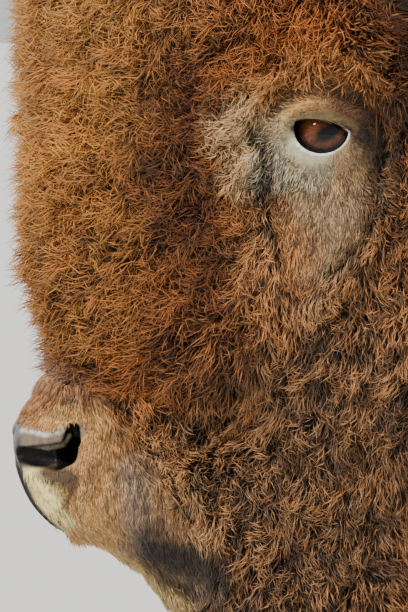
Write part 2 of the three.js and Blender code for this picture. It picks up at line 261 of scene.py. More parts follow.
def limb(start, end, radii, flat=1.0, blend=0.035, side=0):
    return {"kind": "limb", "at": start, "axis": end - start, "radii": radii, "flat": flat, "blend": blend,
            "side": side}


# an ellipsoid, turned about Z and raised about Y
def leaf(centre, size, turn=0.0, rise=0.0, blend=0.02, side=0):
    turn, rise = math.radians(turn), math.radians(rise)
    along = np.array((math.cos(turn) * math.cos(rise), math.sin(turn) * math.cos(rise), math.sin(rise)))
    across = np.cross((0, 0, 1), along)
    across /= np.linalg.norm(across)
    return {"kind": "leaf", "at": centre, "size": size,
            "axes": np.array((along, across, np.cross(along, across))), "blend": blend, "side": side}


def massDistance(mass, x, y, z):
    if mass["side"] == 0:
        x = np.abs(x)
    elif mass["side"] < 0:
        x = -x
    dx, dy, dz = (c - np.float32(k) for c, k in zip((x, y, z), mass["at"]))
    if mass["kind"] != "limb":
        rx, ry, rz = mass["size"]
        if mass["kind"] == "blob":
            px, py, pz = dx, dy * mass["cos"] - dz * mass["sin"], dy * mass["sin"] + dz * mass["cos"]
        else:
            px, py, pz = (dx * a + dy * b + dz * c for a, b, c in mass["axes"].tolist())
        px, py, pz = px / rx, py / ry, pz / rz
        near = np.sqrt(px * px + py * py + pz * pz)
        slope = np.sqrt((px / rx) ** 2 + (py / ry) ** 2 + (pz / rz) ** 2) + 1e-6
        return near * (near - 1) / slope
    ax, ay, az = mass["axis"]
    t = np.clip((dx * ax + dy * ay + dz * az) / (ax * ax + ay * ay + az * az), 0, 1)
    off = np.sqrt(((dx - ax * t) / mass["flat"]) ** 2 + (dy - ay * t) ** 2 + (dz - az * t) ** 2)
    r0, r1 = mass["radii"]
    return (off - r0 * (1 - t) - r1 * t) * min(1.0, mass["flat"])


def joined(masses, p, d):
    x, y, z = p[:, 0], p[:, 1], p[:, 2]
    for mass in masses:
        near = massDistance(mass, x, y, z)
        h = np.maximum(mass["blend"] - np.abs(d - near), 0) / mass["blend"]
        d = np.minimum(d, near) - h * h * mass["blend"] / 4
    return d


def grown(size, by):
    return tuple(s + by for s in size)


coatDepth = {"rump": 0.014, "flank": 0.016, "belly": 0.030, "cape": 0.055, "hump": 0.048, "neck": 0.045,
             "throat": 0.085, "cheek": 0.042, "muzzle": 0.004}
c = coatDepth
torsoMasses = [
    blob(body(0, 0.560, 1.040), grown((0.268, 0.660, 0.315), c["flank"])),
    blob(body(0, 0.830, 0.955), grown((0.240, 0.480, 0.220), c["belly"]), lean=-5),
    blob(body(0, 0.010, 0.960), grown((0.222, 0.330, 0.255), c["cape"])),
    blob(body(0, 0.110, 1.330), grown((0.140, 0.400, 0.395), c["hump"]), lean=12, blend=0.09),
    blob(body(0, 0.560, 1.265), grown((0.160, 0.560, 0.215), c["flank"] + 0.010), lean=19, blend=0.09),
    blob(body(0.140, 0.010, 1.150), grown((0.132, 0.215, 0.330), c["cape"]), lean=14, blend=0.08),
    blob(body(0.158, -0.020, 0.890), grown((0.086, 0.170, 0.165), c["cape"]), blend=0.07),
    blob(body(0, 1.150, 1.165), grown((0.180, 0.420, 0.165), c["rump"]), lean=4, blend=0.09),
    blob(body(0, 1.380, 1.130), grown((0.195, 0.235, 0.190), c["rump"]), lean=8, blend=0.09),
    blob(body(0.165, 1.235, 1.215), grown((0.042, 0.080, 0.060), c["rump"]), lean=10, blend=0.09),
    blob(body(0.108, 1.370, 1.040), grown((0.104, 0.225, 0.200), c["rump"]), lean=12, blend=0.09),
    limb(body(0, -0.060, 1.260), body(0, -0.480, 1.230), (0.265 + c["cape"], 0.150 + c["neck"]), flat=0.82,
         blend=0.09),
    limb(body(0, 0.040, 1.540), body(0, -0.520, 1.345), (0.110 + c["hump"], 0.095 + c["neck"]), blend=0.09),
    limb(body(0, -0.120, 0.950), body(0, -0.470, 1.100), (0.185 + c["throat"], 0.115 + c["throat"]),
         blend=0.09),
]
headMasses = [
    blob(face(0, -0.035, -0.085), grown((0.112, 0.125, 0.112), c["cheek"])),
    limb(face(0, 0.038, -0.060), face(0, 0.062, 0.030), (0.150, 0.106), flat=1.13),
    limb(face(0, 0.062, 0.030), face(0, 0.132, 0.176), (0.092, 0.047), flat=1.05),
    limb(face(0, 0, 0.070), face(0, 0.082, 0.205), (0.126, 0.065)),
    blob(face(0, 0.133, 0.243), grown((0.060, 0.071, 0.062), c["muzzle"]), blend=0.024),
    limb(face(0, 0.148, 0.272), face(0.024, 0.138, 0.274), (0.042, 0.039), blend=0.016),
    limb(face(0.028, 0.116, 0.272), face(0.042, 0.046, 0.288), (0.040, 0.042), blend=0.024),
    limb(face(0, 0.108, 0.308), face(0, 0.030, 0.322), (0.027, 0.056), flat=1.2, blend=0.016),
    limb(face(0, 0.030, 0.310), face(0, -0.100, 0.165), (0.070, 0.133), flat=0.95),
    blob(face(0.066, -0.070, 0.110), grown((0.046, 0.085, 0.105), c["cheek"])),
    limb(face(0.066, -0.010, -0.002), face(0.112, -0.002, 0), (0.056, 0.032), blend=0.030),
    limb(face(0.092, 0, 0.046), face(0.056, 0.072, 0.140), (0.048, 0.054), blend=0.040),
    limb(face(0.088, -0.058, -0.105), face(0.135, -0.060, -0.122), (0.074, 0.066), blend=0.040),
    blob(face(0, 0.060, -0.010), (0.126, 0.141, 0.150), blend=0.040),
    blob(face(0, 0.092, 0.092), (0.102, 0.107, 0.102), blend=0.040),
    blob(face(0, 0.044, -0.120), (0.150, 0.146, 0.130), blend=0.060),
    limb(face(0.060, -0.020, -0.115), face(0.116, -0.034, -0.078), (0.060, 0.028), blend=0.040),
]
beardMasses = [
    limb(face(0, -0.002, 0.330), face(0, -0.004, 0.470), (0.070, 0.066), flat=0.85, blend=0.040),
    limb(face(0, -0.004, 0.470), face(0, -0.020, 0.596), (0.066, 0.034), flat=0.8, blend=0.040),
    limb(face(0, -0.050, 0.270), face(0, -0.060, 0.430), (0.088, 0.074), flat=0.95, blend=0.060),
]


def foreleg(sign, x, y):  # masses from the elbow down to the pastern
    return [
        blob(body(x - 0.010, 0.015 + y * 0.2, 0.850), grown((0.074, 0.135, 0.150), 0.043), side=sign),
        limb(body(x - 0.004, 0.010 + y * 0.3, 0.800), body(x, y * 0.7, 0.600), (0.150, 0.134), flat=0.86,
             side=sign),
        limb(body(x, y * 0.7, 0.600), body(x, y * 0.9 - 0.004, 0.455), (0.128, 0.086), flat=0.9, side=sign),
        limb(body(x, y * 0.9 - 0.004, 0.455), body(x, y - 0.004, 0.395), (0.068, 0.050), side=sign),
        limb(body(x, y - 0.004, 0.395), body(x, y + 0.002, 0.185), (0.043, 0.039), side=sign),
        limb(body(x, y + 0.002, 0.185), body(x, y + 0.004, 0.140), (0.050, 0.050), flat=1.06, side=sign),
        limb(body(x, y + 0.004, 0.140), body(x, y - 0.008, 0.060), (0.044, 0.052), flat=1.12, side=sign),
    ]


def hindleg(sign, x, y):
    return [
        blob(body(x - 0.040, y - 0.040, 0.985), grown((0.094, 0.185, 0.230), 0.014), lean=12, blend=0.06,
             side=sign),
        blob(body(x - 0.016, y - 0.160, 0.850), grown((0.066, 0.095, 0.130), 0.014), lean=14, blend=0.06,
             side=sign),
        limb(body(x - 0.014, y - 0.070, 0.800), body(x - 0.006, y + 0.040, 0.600), (0.114, 0.070),
             flat=0.72, blend=0.05, side=sign),
        limb(body(x - 0.006, y + 0.046, 0.640), body(x - 0.004, y + 0.062, 0.545), (0.046, 0.054), flat=0.8,
             blend=0.04, side=sign),
        limb(body(x - 0.004, y + 0.050, 0.545), body(x - 0.002, y + 0.026, 0.470), (0.060, 0.050),
             flat=0.86, blend=0.04, side=sign),
        limb(body(x - 0.002, y + 0.026, 0.470), body(x, y + 0.008, 0.195), (0.045, 0.040), flat=0.9,
             side=sign),
        limb(body(x, y + 0.008, 0.195), body(x, y + 0.008, 0.145), (0.049, 0.049), flat=1.04, side=sign),
        limb(body(x, y + 0.008, 0.145), body(x, y - 0.006, 0.060), (0.043, 0.050), flat=1.1, side=sign),
    ]


feet = {(kind, side): footAt(kind, side) for kind in ("fore", "hind") for side in ("left", "right")}
legMasses = {}
for (kind, side), (footX, footY) in feet.items():
    sign = 1 if side == "left" else -1
    legMasses[kind, side] = (foreleg if kind == "fore" else hindleg)(sign, footX * sign, footY - shiftY)
tailPoints = [body(0, 1.540, 1.222), body(0, 1.630, 1.195), body(0, 1.676, 1.120), body(0, 1.690, 1.000),
              body(0, 1.687, 0.870), body(0, 1.685, 0.740), body(0, 1.680, 0.585)]
tailRadii = [0.052, 0.036, 0.029, 0.026, 0.025, 0.042, 0.014]
tailMasses = [limb(a, b, radii, blend=0.03)
              for a, b, radii in zip(tailPoints, tailPoints[1:], zip(tailRadii, tailRadii[1:]))]
earMasses = [
    leaf(face(0.181, -0.124, -0.053), (0.076, 0.012, 0.035), turn=17, rise=-12, blend=0.020),
    limb(face(0.092, -0.094, -0.068), face(0.135, -0.110, -0.064), (0.034, 0.022), blend=0.020),
]


def boxOf(masses):
    low, high = np.full(3, 9.0), np.full(3, -9.0)
    for mass in masses:
        ends = [mass["at"]] if mass["kind"] != "limb" else [mass["at"], mass["at"] + mass["axis"]]
        reach = max(mass["size"]) if mass["kind"] != "limb" else max(mass["radii"]) * max(1, mass["flat"])
        for end in ends:
            for mirrored in ((1, -1) if mass["side"] == 0 else (mass["side"],)):
                point = np.array((end[0] * mirrored, end[1], end[2]))
                low, high = np.minimum(low, point - reach), np.maximum(high, point + reach)
    return (low + high) / 2, (high - low) / 2 + 0.13


bodyParts = (torsoMasses, headMasses, beardMasses, *legMasses.values(), tailMasses, earMasses)
massGroups = [(boxOf(masses), masses) for masses in bodyParts]
hornAxis = [(0.100, -0.062, -0.118), (0.180, -0.064, -0.116), (0.256, -0.060, -0.136),
            (0.298, -0.052, -0.186), (0.304, -0.042, -0.238), (0.284, -0.034, -0.292)]
hornCore = [limb(face(*hornAxis[0]), face(*hornAxis[1]), (0.051, 0.046), blend=0.01),
            limb(face(*hornAxis[1]), face(*hornAxis[2]), (0.046, 0.038), blend=0.01)]


def outer(p):  # distance to the coat's outer surface, below zero inside it
    p = np.asarray(p, np.float32)
    d = np.full(len(p), 1.0, np.float32)
    for (middle, half), masses in massGroups:
        near = np.nonzero((np.abs(p - middle.astype(np.float32)) < half.astype(np.float32)).all(1))[0]
        if len(near):
            d[near] = joined(masses, p[near], d[near])
    return d


# How deep the coat is, place by place.
def smooth(low, high, value):
    t = np.clip((value - low) / (high - low), 0, 1)
    return t * t * (3 - 2 * t)


def waves(p, size, seed, count=5):  # a smooth noise of about that size, between -1 and 1
    dice = np.random.default_rng(seed)
    total = np.zeros(len(p), np.float32)
    for _ in range(count):
        way = dice.normal(size=3)
        way *= 2 * math.pi / size * dice.uniform(0.6, 1.5) / np.linalg.norm(way)
        total += np.sin(p @ way.astype(np.float32) + dice.uniform(0, 6.28))
    return np.clip(total / math.sqrt(count) * 0.8, -1, 1)


def headPlace(p):  # (across, forward, down) of points, told from the eye
    return np.abs(p[:, 0]), eye[1] - p[:, 1], eye[2] - p[:, 2]


def stroke(forward, down, points):  # side-on distance from a chain of tapered strokes
    best = np.full(len(forward), 9.0)
    for (f0, d0, r0), (f1, d1, r1) in zip(points, points[1:]):
        df, dd = f1 - f0, d1 - d0
        t = np.clip(((forward - f0) * df + (down - d0) * dd) / (df * df + dd * dd), 0, 1)
        best = np.minimum(best, np.hypot(forward - f0 - df * t, down - d0 - dd * t) - r0 * (1 - t) - r1 * t)
    return best


zones = {
    "eyeAcross": [(0.026, -0.014, 0.026), (0.000, -0.010, 0.041), (-0.026, 0.006, 0.022)],
    "eyeDown": [(-0.002, 0.010, 0.040), (0.000, 0.058, 0.032), (0.012, 0.104, 0.012)],
    "patch": [(0.050, -0.032, 0.009), (0.048, -0.005, 0.013), (0.044, 0.022, 0.008)],
    "muzzle": [(0.186, 0.236, 0.056), (0.165, 0.290, 0.062), (0.110, 0.338, 0.050)],
    "nose": [(0.206, 0.230, 0.020), (0.180, 0.230, 0.024), (0.184, 0.276, 0.016)],
    "chin": [(0.112, 0.352, 0.020), (0.050, 0.380, 0.030)],
    "mop": [(0.050, -0.150, 0.110), (0.120, -0.020, 0.108), (0.135, 0.110, 0.098)],
}


def weights(p):  # how much of each kind of coat there is at each point, from 0 to 1
    across, forward, down = headPlace(p)
    y, z = p[:, 1] - shiftY, p[:, 2]
    w = {}
    headward = smooth(-0.24, -0.10, forward) * smooth(0.70, 0.58, down)
    w["eye"] = np.maximum(smooth(0.010, -0.012, stroke(forward, down, zones["eyeAcross"])),
                          smooth(0.018, -0.012, stroke(forward, down, zones["eyeDown"])))
    w["eye"] = w["eye"] * headward * smooth(0.045, 0.085, across)
    tall = np.where(down < -0.002, 0.025, 0.032)
    w["lid"] = w["eye"] * smooth(1.15, 0.90, np.hypot((forward - 0.003) / 0.036, (down + 0.002) / tall))
    w["muzzle"] = headward * smooth(0.014, -0.014, stroke(forward, down, zones["muzzle"]))
    w["nose"] = w["muzzle"] * smooth(0.006, -0.008, stroke(forward, down, zones["nose"]))
    w["chin"] = w["muzzle"] * smooth(0.008, -0.010, stroke(forward, down, zones["chin"]))
    clear = (1 - w["eye"]) * (1 - w["muzzle"])
    w["mop"] = headward * clear * smooth(0.030, -0.030, stroke(forward, down, zones["mop"]))
    w["crown"] = headward * clear * smooth(-0.050, -0.115, down)
    w["patch"] = headward * clear * smooth(0.010, -0.006, stroke(forward, down, zones["patch"]))
    w["patch"] = w["patch"] * smooth(0.045, 0.085, across)
    fromHorn = np.hypot(forward + 0.063, down + 0.117)
    w["ruff"] = headward * smooth(0.088, 0.060, fromHorn) * smooth(0.070, 0.100, across)
    w["head"] = headward
    w["beard"] = smooth(-0.22, -0.12, forward) * smooth(0.350, 0.400, down) * smooth(0.16, 0.10, forward)
    w["ear"] = headward * smooth(0.128, 0.150, across) * smooth(-0.085, -0.105, forward)
    w["ear"] = w["ear"] * smooth(0.03, 0.0, down)
    w["cape"] = smooth(0.66, 0.34, y + 0.25 * (z - 1.1) + 0.03 * waves(p, 0.35, 3)) * (1 - headward)
    w["leg"] = smooth(0.72, 0.60, z) * (1 - w["beard"]) * smooth(-0.30, -0.24, y) * smooth(1.66, 1.62, y)
    w["chaps"] = w["leg"] * smooth(0.62, 0.45, y) * smooth(0.39, 0.50, z + 0.02 * waves(p, 0.05, 21))
    w["shin"] = w["leg"] * (1 - w["chaps"]) * smooth(0.58, 0.46, z)
    w["tail"] = smooth(1.610, 1.640, y)
    w["tuft"] = w["tail"] * smooth(0.90, 0.84, z)
    return w


# Each kind of coat, in metres: its depth, then a tuft's length and width and how far it curls round, in
# radians, the clumps that tufts draw into and how strongly, how closely tufts stand, and how wildly they
# turn from the lie.
coatWords = ("depth", "length", "width", "curl", "clump", "pull", "close", "wild")
coats = {name: dict(zip(coatWords, values)) for name, values in {
    "flank": (0.012, 0.052, 0.0060, 0.3, 0.030, 0.25, 1.0, 0.16),
    "cape": (0.036, 0.085, 0.0070, 1.0, 0.042, 0.45, 1.2, 0.20),
    "head": (0.024, 0.028, 0.0013, 1.4, 0.014, 0.32, 9.0, 0.34),
    "crown": (0.034, 0.054, 0.0030, 1.2, 0.020, 0.36, 3.0, 0.32),
    "mop": (0.038, 0.040, 0.0013, 2.1, 0.015, 0.26, 8.0, 0.40),
    "ruff": (0.028, 0.064, 0.0030, 0.8, 0.020, 0.30, 5.0, 0.20),
    "patch": (0.020, 0.023, 0.0015, 1.0, 0.009, 0.40, 24.0, 0.26),
    "beard": (0.036, 0.100, 0.0042, 0.9, 0.026, 0.50, 2.6, 0.14),
    "ear": (0.004, 0.030, 0.0024, 0.2, 0.010, 0.20, 6.0, 0.20),
    "chaps": (0.034, 0.080, 0.0056, 0.9, 0.034, 0.50, 2.0, 0.14),
    "shin": (0.0055, 0.022, 0.0032, 0.1, 0.012, 0.15, 3.0, 0.10),
    "muzzle": (0.0026, 0.0150, 0.0010, 0.2, 0.007, 0.34, 26.0, 0.12),
    "nose": (0.0016, 0.0046, 0.0009, 0.1, 0.005, 0.10, 36.0, 0.10),
    "chin": (0.0070, 0.0150, 0.0012, 0.3, 0.008, 0.30, 20.0, 0.16),
    "eye": (0.0034, 0.0115, 0.0011, 0.4, 0.007, 0.28, 24.0, 0.18),
    "lid": (0.0018, 0.0050, 0.0008, 0.3, 0.004, 0.16, 34.0, 0.16),
    "tail": (0.008, 0.045, 0.0040, 0.3, 0.020, 0.20, 3.0, 0.10),
    "tuft": (0.024, 0.130, 0.0045, 0.6, 0.026, 0.40, 12.0, 0.10),
}.items()}


def blended(w, what):  # one of those values at every point
    total = coats["flank"][what]
    for name in coats:
        if name != "flank":
            total = total * (1 - w[name]) + coats[name][what] * w[name]
    return total


def depthAt(p):
    return blended(weights(p), "depth")


# What is cut into the skin, or stands on it: eyelids, nose and mouth.
def chainDistance(points, q):  # from a chain of tapered rods; q is points as (across, forward, down)
    best = np.full(len(q), 9.0)
    for start, end in zip(points, points[1:]):
        start, end = np.array(start), np.array(end)
        axis = end[:3] - start[:3]
        t = np.clip((q - start[:3]) @ axis / (axis @ axis), 0, 1)
        off = np.linalg.norm(q - start[:3] - t[:, None] * axis, axis=1)
        best = np.minimum(best, off - start[3] * (1 - t) - end[3] * t)
    return best


def carve(d, tool, soft):  # takes a tool out of a solid, with a soft rim
    h = np.maximum(soft - np.abs(d + tool), 0) / soft
    return np.maximum(d, -tool) + h * h * soft / 4


def fuse(d, mass, soft):  # joins a form to a solid
    h = np.maximum(soft - np.abs(d - mass), 0) / soft
    return np.minimum(d, mass) - h * h * soft / 4


def onSkin(points, sink=0.0):  # puts (forward, down, radius) points on the side of the bare head
    placed = []
    for forward, down, radius in points:
        steps = np.arange(0, 0.2, 0.0005)
        tries = np.array([face(across, forward, down) for across in steps])
        inside = outer(tries) + depthAt(tries) < 0
        placed.append((max(steps[inside].max(initial=0) - sink, 0.002), forward, down, radius))
    return placed


gazeTurn, gazeRise = math.radians(15), math.radians(7)
gaze = {
    "out": np.array((math.cos(gazeTurn) * math.cos(gazeRise), math.sin(gazeTurn) * math.cos(gazeRise),
                     -math.sin(gazeRise))),
    "back": np.array((math.sin(gazeTurn), -math.cos(gazeTurn), 0)),  # both as (across, forward, down)
}
gaze["up"] = np.cross(gaze["out"], gaze["back"])
gaze["up"] *= -np.sign(gaze["up"][2])
lids = {
    "cover": 0.0026,  # how thick the lids are
    "lower": {"centre": (-0.0004, 0.0016), "wide": 0.0206, "high": 0.0183},
    "upper": {"centre": (-0.0100, -0.0128), "wide": 0.0370, "high": 0.0213},
    "blend": 0.016,
    "rim": 0.0012,
}
folds = {
    "brow": onSkin([(0.0365, -0.004, 0.0020), (0.0345, -0.0135, 0.0038), (0.0275, -0.0200, 0.0046),
                    (0.016, -0.0235, 0.0048), (0.003, -0.0235, 0.0044), (-0.008, -0.0205, 0.0036),
                    (-0.022, -0.015, 0.0020)], sink=-0.0044),
    "browCrease": [(0.029, -0.0125), (0.023, -0.0165), (0.012, -0.0185), (-0.002, -0.0180),
                   (-0.014, -0.0150)],
    "under": [(0.024, 0.012), (0.010, 0.0235), (-0.010, 0.0235), (-0.024, 0.013)],
    "under2": [(0.030, 0.018), (0.014, 0.031), (-0.010, 0.032), (-0.026, 0.022)],
}


def onLid(points, radius):  # puts (forward, down) points on the lids' outer side
    placed = []
    for forward, down in points:
        reach = eyeRadius + lids["cover"]
        depth = math.sqrt(max(reach * reach - forward * forward - down * down, 0.0001))
        placed.append((eye[0] + depth, forward, down, radius))
    return placed


folds["browCrease"] = onLid(folds["browCrease"], 0.0014)
folds["under"] = onLid(folds["under"], 0.0005)
folds["under2"] = onLid(folds["under2"], 0.0004)


def opening(q):  # from the edge of the lids' opening, below zero in it, seen along the eye's gaze
    away = np.linalg.norm(q, axis=1)
    u, v, out = (q @ gaze[name] for name in ("back", "up", "out"))
    edges = []
    for lid in (lids["lower"], lids["upper"]):
        cu, cv = lid["centre"]
        edges.append((np.hypot((u - cu) / lid["wide"], (v - cv) / lid["high"]) - 1) * lid["high"])
    edge = np.maximum(*edges)
    return np.where(out > 0, edge, 0.02), away, u, v


def addEye(d, q):
    fromEye = q - np.array((eye[0], 0, 0))
    edge, away = opening(fromEye)[:2]
    d = fuse(d, away - eyeRadius - lids["cover"], lids["blend"])
    d = fuse(d, chainDistance(folds["brow"], q), 0.008)
    for name, soft in (("browCrease", 0.0035), ("under", 0.003), ("under2", 0.003)):
        d = carve(d, chainDistance(folds[name], q), soft)
    return carve(d, np.maximum(edge, eyeRadius - 0.005 - away), lids["rim"])


nose = {
    "nostril": onSkin([(0.2045, 0.2460, 0.0052), (0.197, 0.2462, 0.0070), (0.187, 0.2462, 0.0076),
                       (0.176, 0.2440, 0.0080), (0.1725, 0.2340, 0.0066), (0.1715, 0.2250, 0.0046)],
                      sink=0.0025),
    "inside": [(0.033, 0.196, 0.2462, 0.0074), (0.044, 0.184, 0.246, 0.0092), (0.038, 0.166, 0.241, 0.0105),
               (0.026, 0.130, 0.226, 0.0060)],
    "rim": onSkin([(0.2030, 0.2290, 0.0010), (0.2000, 0.2270, 0.0024), (0.192, 0.2300, 0.0032),
                   (0.181, 0.2272, 0.0030), (0.173, 0.2225, 0.0024), (0.167, 0.2185, 0.0014)], sink=0.0010),
    "curl": onSkin([(0.199, 0.2370, 0.0026), (0.188, 0.2385, 0.0036), (0.179, 0.2360, 0.0034),
                    (0.174, 0.2300, 0.0022)], sink=0.0056),
    "wing": onSkin([(0.158, 0.222, 0.0040), (0.159, 0.238, 0.0062), (0.166, 0.254, 0.0062),
                    (0.180, 0.262, 0.0046)], sink=0.0024),
    "groove": onSkin([(0.150, 0.258, 0.0012), (0.158, 0.270, 0.0016), (0.172, 0.280, 0.0010)]),
    "mouth": [(0.000, 0.150, 0.3135, 0.0030), (0.030, 0.132, 0.3200, 0.0032), (0.050, 0.108, 0.3260, 0.0034),
              (0.064, 0.080, 0.3310, 0.0032), (0.074, 0.050, 0.3330, 0.0018)],
    "philtrum": [(0.000, 0.208, 0.250, 0.0020), (0.000, 0.193, 0.282, 0.0024), (0.000, 0.167, 0.306, 0.0022)],
}


def addNose(d, q):
    d = fuse(d, chainDistance(nose["wing"], q), 0.009)
    d = fuse(d, chainDistance(nose["rim"], q), 0.007)
    d = carve(d, chainDistance(nose["nostril"], q), 0.0035)
    d = carve(d, chainDistance(nose["inside"], q), 0.004)
    d = fuse(d, chainDistance(nose["curl"], q), 0.003)
    d = carve(d, chainDistance(nose["groove"], q), 0.006)
    d = carve(d, chainDistance(nose["mouth"], q), 0.003)
    return carve(d, chainDistance(nose["philtrum"], q), 0.004)


coronet = {"front": 0.074, "heel": 0.042, "length": 0.110}


def skinField(p):
    d = outer(p).astype(float) + depthAt(p)
    q = np.stack(headPlace(p), 1)
    close = np.nonzero((q[:, 1] > 0.0) & (q[:, 2] > 0.17) & (q[:, 2] < 0.40))[0]
    if len(close):
        d[close] = addNose(d[close], q[close])
    close = np.nonzero((np.abs(q[:, 1]) < 0.075) & (np.abs(q[:, 2]) < 0.075) & (q[:, 0] > 0.07)
                       & (q[:, 0] < 0.21))[0]
    if len(close):
        d[close] = addEye(d[close], q[close])
    low = np.nonzero(p[:, 2] < 0.12)[0]
    if len(low):
        cut = np.full(len(low), -9.0)
        for footX, footY in feet.values():
            off = p[low, 1] - footY
            fall = off * (coronet["front"] - coronet["heel"]) / coronet["length"]
            height = (coronet["front"] + coronet["heel"]) / 2 - fall
            cut = np.where((np.abs(off) < 0.12) & (p[low, 0] * footX > 0), height - 0.003 - p[low, 2], cut)
        d[low] = carve(d[low], -cut, 0.008)
    return d


# Meshing a field.
def netOf(field, low, high, cell, block=8):  # quads over the surface where the field is zero
    size = block * cell
    counts = np.ceil((high - low) / size).astype(int)
    places = np.stack(np.meshgrid(*[np.arange(n) for n in counts], indexing="ij"), -1).reshape(-1, 3)
    places = places[np.abs(field(low + (places + 0.5) * size)) < size * 1.5]
    steps = np.stack(np.meshgrid(*[np.arange(block + 1)] * 3, indexing="ij"), -1).reshape(-1, 3)
    corners = (places[:, None] * block + steps[None]).reshape(-1, 3)
    values = np.concatenate([field(low + part * cell)
                             for part in np.array_split(corners, 1 + len(corners) // 200000)])
    values = values.reshape(-1, block + 1, block + 1, block + 1)
    offsets = np.array([(x, y, z) for x in (0, 1) for y in (0, 1) for z in (0, 1)])
    inside = values < 0
    count = sum(inside[:, x:block + x, y:block + y, z:block + z].astype(np.int8) for x, y, z in offsets)
    b, i, j, k = np.nonzero((count > 0) & (count < 8))
    cells = places[b] * block + np.stack((i, j, k), 1)
    at = np.stack([values[b, i + x, j + y, k + z] for x, y, z in offsets], 1)
    total, hits = np.zeros((len(b), 3)), np.zeros(len(b))
    for m in range(8):
        for n in range(m + 1, 8):
            if np.abs(offsets[m] - offsets[n]).sum() != 1:
                continue
            cross = (at[:, m] < 0) != (at[:, n] < 0)
            t = np.where(cross, at[:, m] / np.where(cross, at[:, m] - at[:, n], 1), 0)
            total += np.where(cross[:, None], offsets[m] + (offsets[n] - offsets[m]) * t[:, None], 0)
            hits += cross
    verts = low + (cells + total / hits[:, None]) * cell
    jump = np.array(((counts[1] * block + 3) * (counts[2] * block + 3), counts[2] * block + 3, 1))
    key = (cells + 1) @ jump
    order = np.argsort(key)
    ordered = key[order]
    quads = []
    for axis, other, third in ((0, 1, 2), (1, 2, 0), (2, 0, 1)):
        owners = np.nonzero((at[:, 0] < 0) != (at[:, (4, 2, 1)[axis]] < 0))[0]
        good = np.ones(len(owners), bool)
        found = []
        for step in (0, jump[other], jump[other] + jump[third], jump[third]):
            place = np.clip(np.searchsorted(ordered, key[owners] - step), 0, len(order) - 1)
            good &= ordered[place] == key[owners] - step
            found.append(order[place])
        quad = np.stack(found, 1)[good]
        flip = at[owners[good], 0] > 0
        quad[flip] = quad[flip][:, ::-1]
        quads.append(quad)
    return verts, np.concatenate(quads), cells


def slopeOf(field, p, step=2e-4):
    here = field(p)
    g = np.stack([field(p + step * np.eye(3)[axis]) - here for axis in range(3)], 1) / step
    return here, g


def settle(field, p, rounds=2, most=0.004):  # moves points onto the surface
    for _ in range(rounds):
        here, g = slopeOf(field, p)
        move = -here[:, None] * g / np.maximum((g * g).sum(1), 0.2)[:, None]
        size = np.linalg.norm(move, axis=1)
        p = p + move * np.minimum(1, most / np.maximum(size, 1e-9))[:, None]
    return p


def split(verts, faces, chosen):  # cuts chosen quads in four; faces are lists of corners, quads first
    quads, ngons = faces
    picked, rest = quads[chosen], quads[~chosen]
    edges = np.sort(np.stack((picked, np.roll(picked, -1, 1)), -1).reshape(-1, 2), 1)
    unique, index = np.unique(edges, axis=0, return_inverse=True)
    mids = len(verts) + index.reshape(-1, 4)
    centres = len(verts) + len(unique) + np.arange(len(picked))
    made = [np.stack((picked[:, s], mids[:, s], centres, mids[:, s - 1]), 1) for s in range(4)]
    middle = {tuple(e): len(verts) + n for n, e in enumerate(unique.tolist())}
    verts = np.concatenate((verts, (verts[unique[:, 0]] + verts[unique[:, 1]]) / 2, verts[picked].mean(1)))
    touched = np.isin(rest, unique).sum(1) > 1
    plain, more = [rest[~touched]], []
    for ring in rest[touched].tolist() + ngons:
        grown = []
        for a, b in zip(ring, ring[1:] + ring[:1]):
            grown.append(a)
            if (min(a, b), max(a, b)) in middle:
                grown.append(middle[min(a, b), max(a, b)])
        if len(grown) == 4:
            plain.append(np.array([grown]))
        else:
            more.append(grown)
    return verts, (np.concatenate(plain + made), more)


def rimOf(quads, verts):  # the open edge of a mesh, as one loop of points in order round Y
    edges = np.stack((quads, np.roll(quads, -1, 1)), -1).reshape(-1, 2)
    key = np.sort(edges, 1) @ np.array((len(verts), 1))
    first, count = np.unique(key, return_index=True, return_counts=True)[1:]
    follow = dict(edges[first[count == 1]].tolist())
    best = []
    while follow:
        loop = [next(iter(follow))]
        while loop[-1] in follow:
            loop.append(follow.pop(loop[-1]))
        if len(loop) > len(best):
            best = loop
    return best[:-1]


def zipped(loopA, loopB, verts):  # triangles between two loops that run the same way round
    middle = verts[loopA].mean(0)

    def turnOf(loop):
        return np.unwrap(np.arctan2(verts[loop][:, 0] - middle[0], verts[loop][:, 2] - middle[2]))

    turnA, turnB = turnOf(loopA), turnOf(loopB)
    way = np.sign(turnA[-1] - turnA[0])
    first = np.argmin(np.abs((turnB - turnA[0] + math.pi) % (2 * math.pi) - math.pi))
    loopB = loopB[first:] + loopB[:first]
    turnB = turnOf(loopB)
    turnB += round((turnA[0] - turnB[0]) / (2 * math.pi)) * 2 * math.pi
    i = j = 0
    faces = []
    while i < len(loopA) or j < len(loopB):
        nextA = turnA[(i + 1) % len(loopA)] + (way * 2 * math.pi if i + 1 >= len(loopA) else 0)
        nextB = turnB[(j + 1) % len(loopB)] + (way * 2 * math.pi if j + 1 >= len(loopB) else 0)
        a, b = loopA[i % len(loopA)], loopB[j % len(loopB)]
        if j >= len(loopB) or (i < len(loopA) and way * nextA <= way * nextB):
            i += 1
            faces.append([a, b, loopA[i % len(loopA)]])
        else:
            j += 1
            faces.append([a, b, loopB[j % len(loopB)]])
    return faces


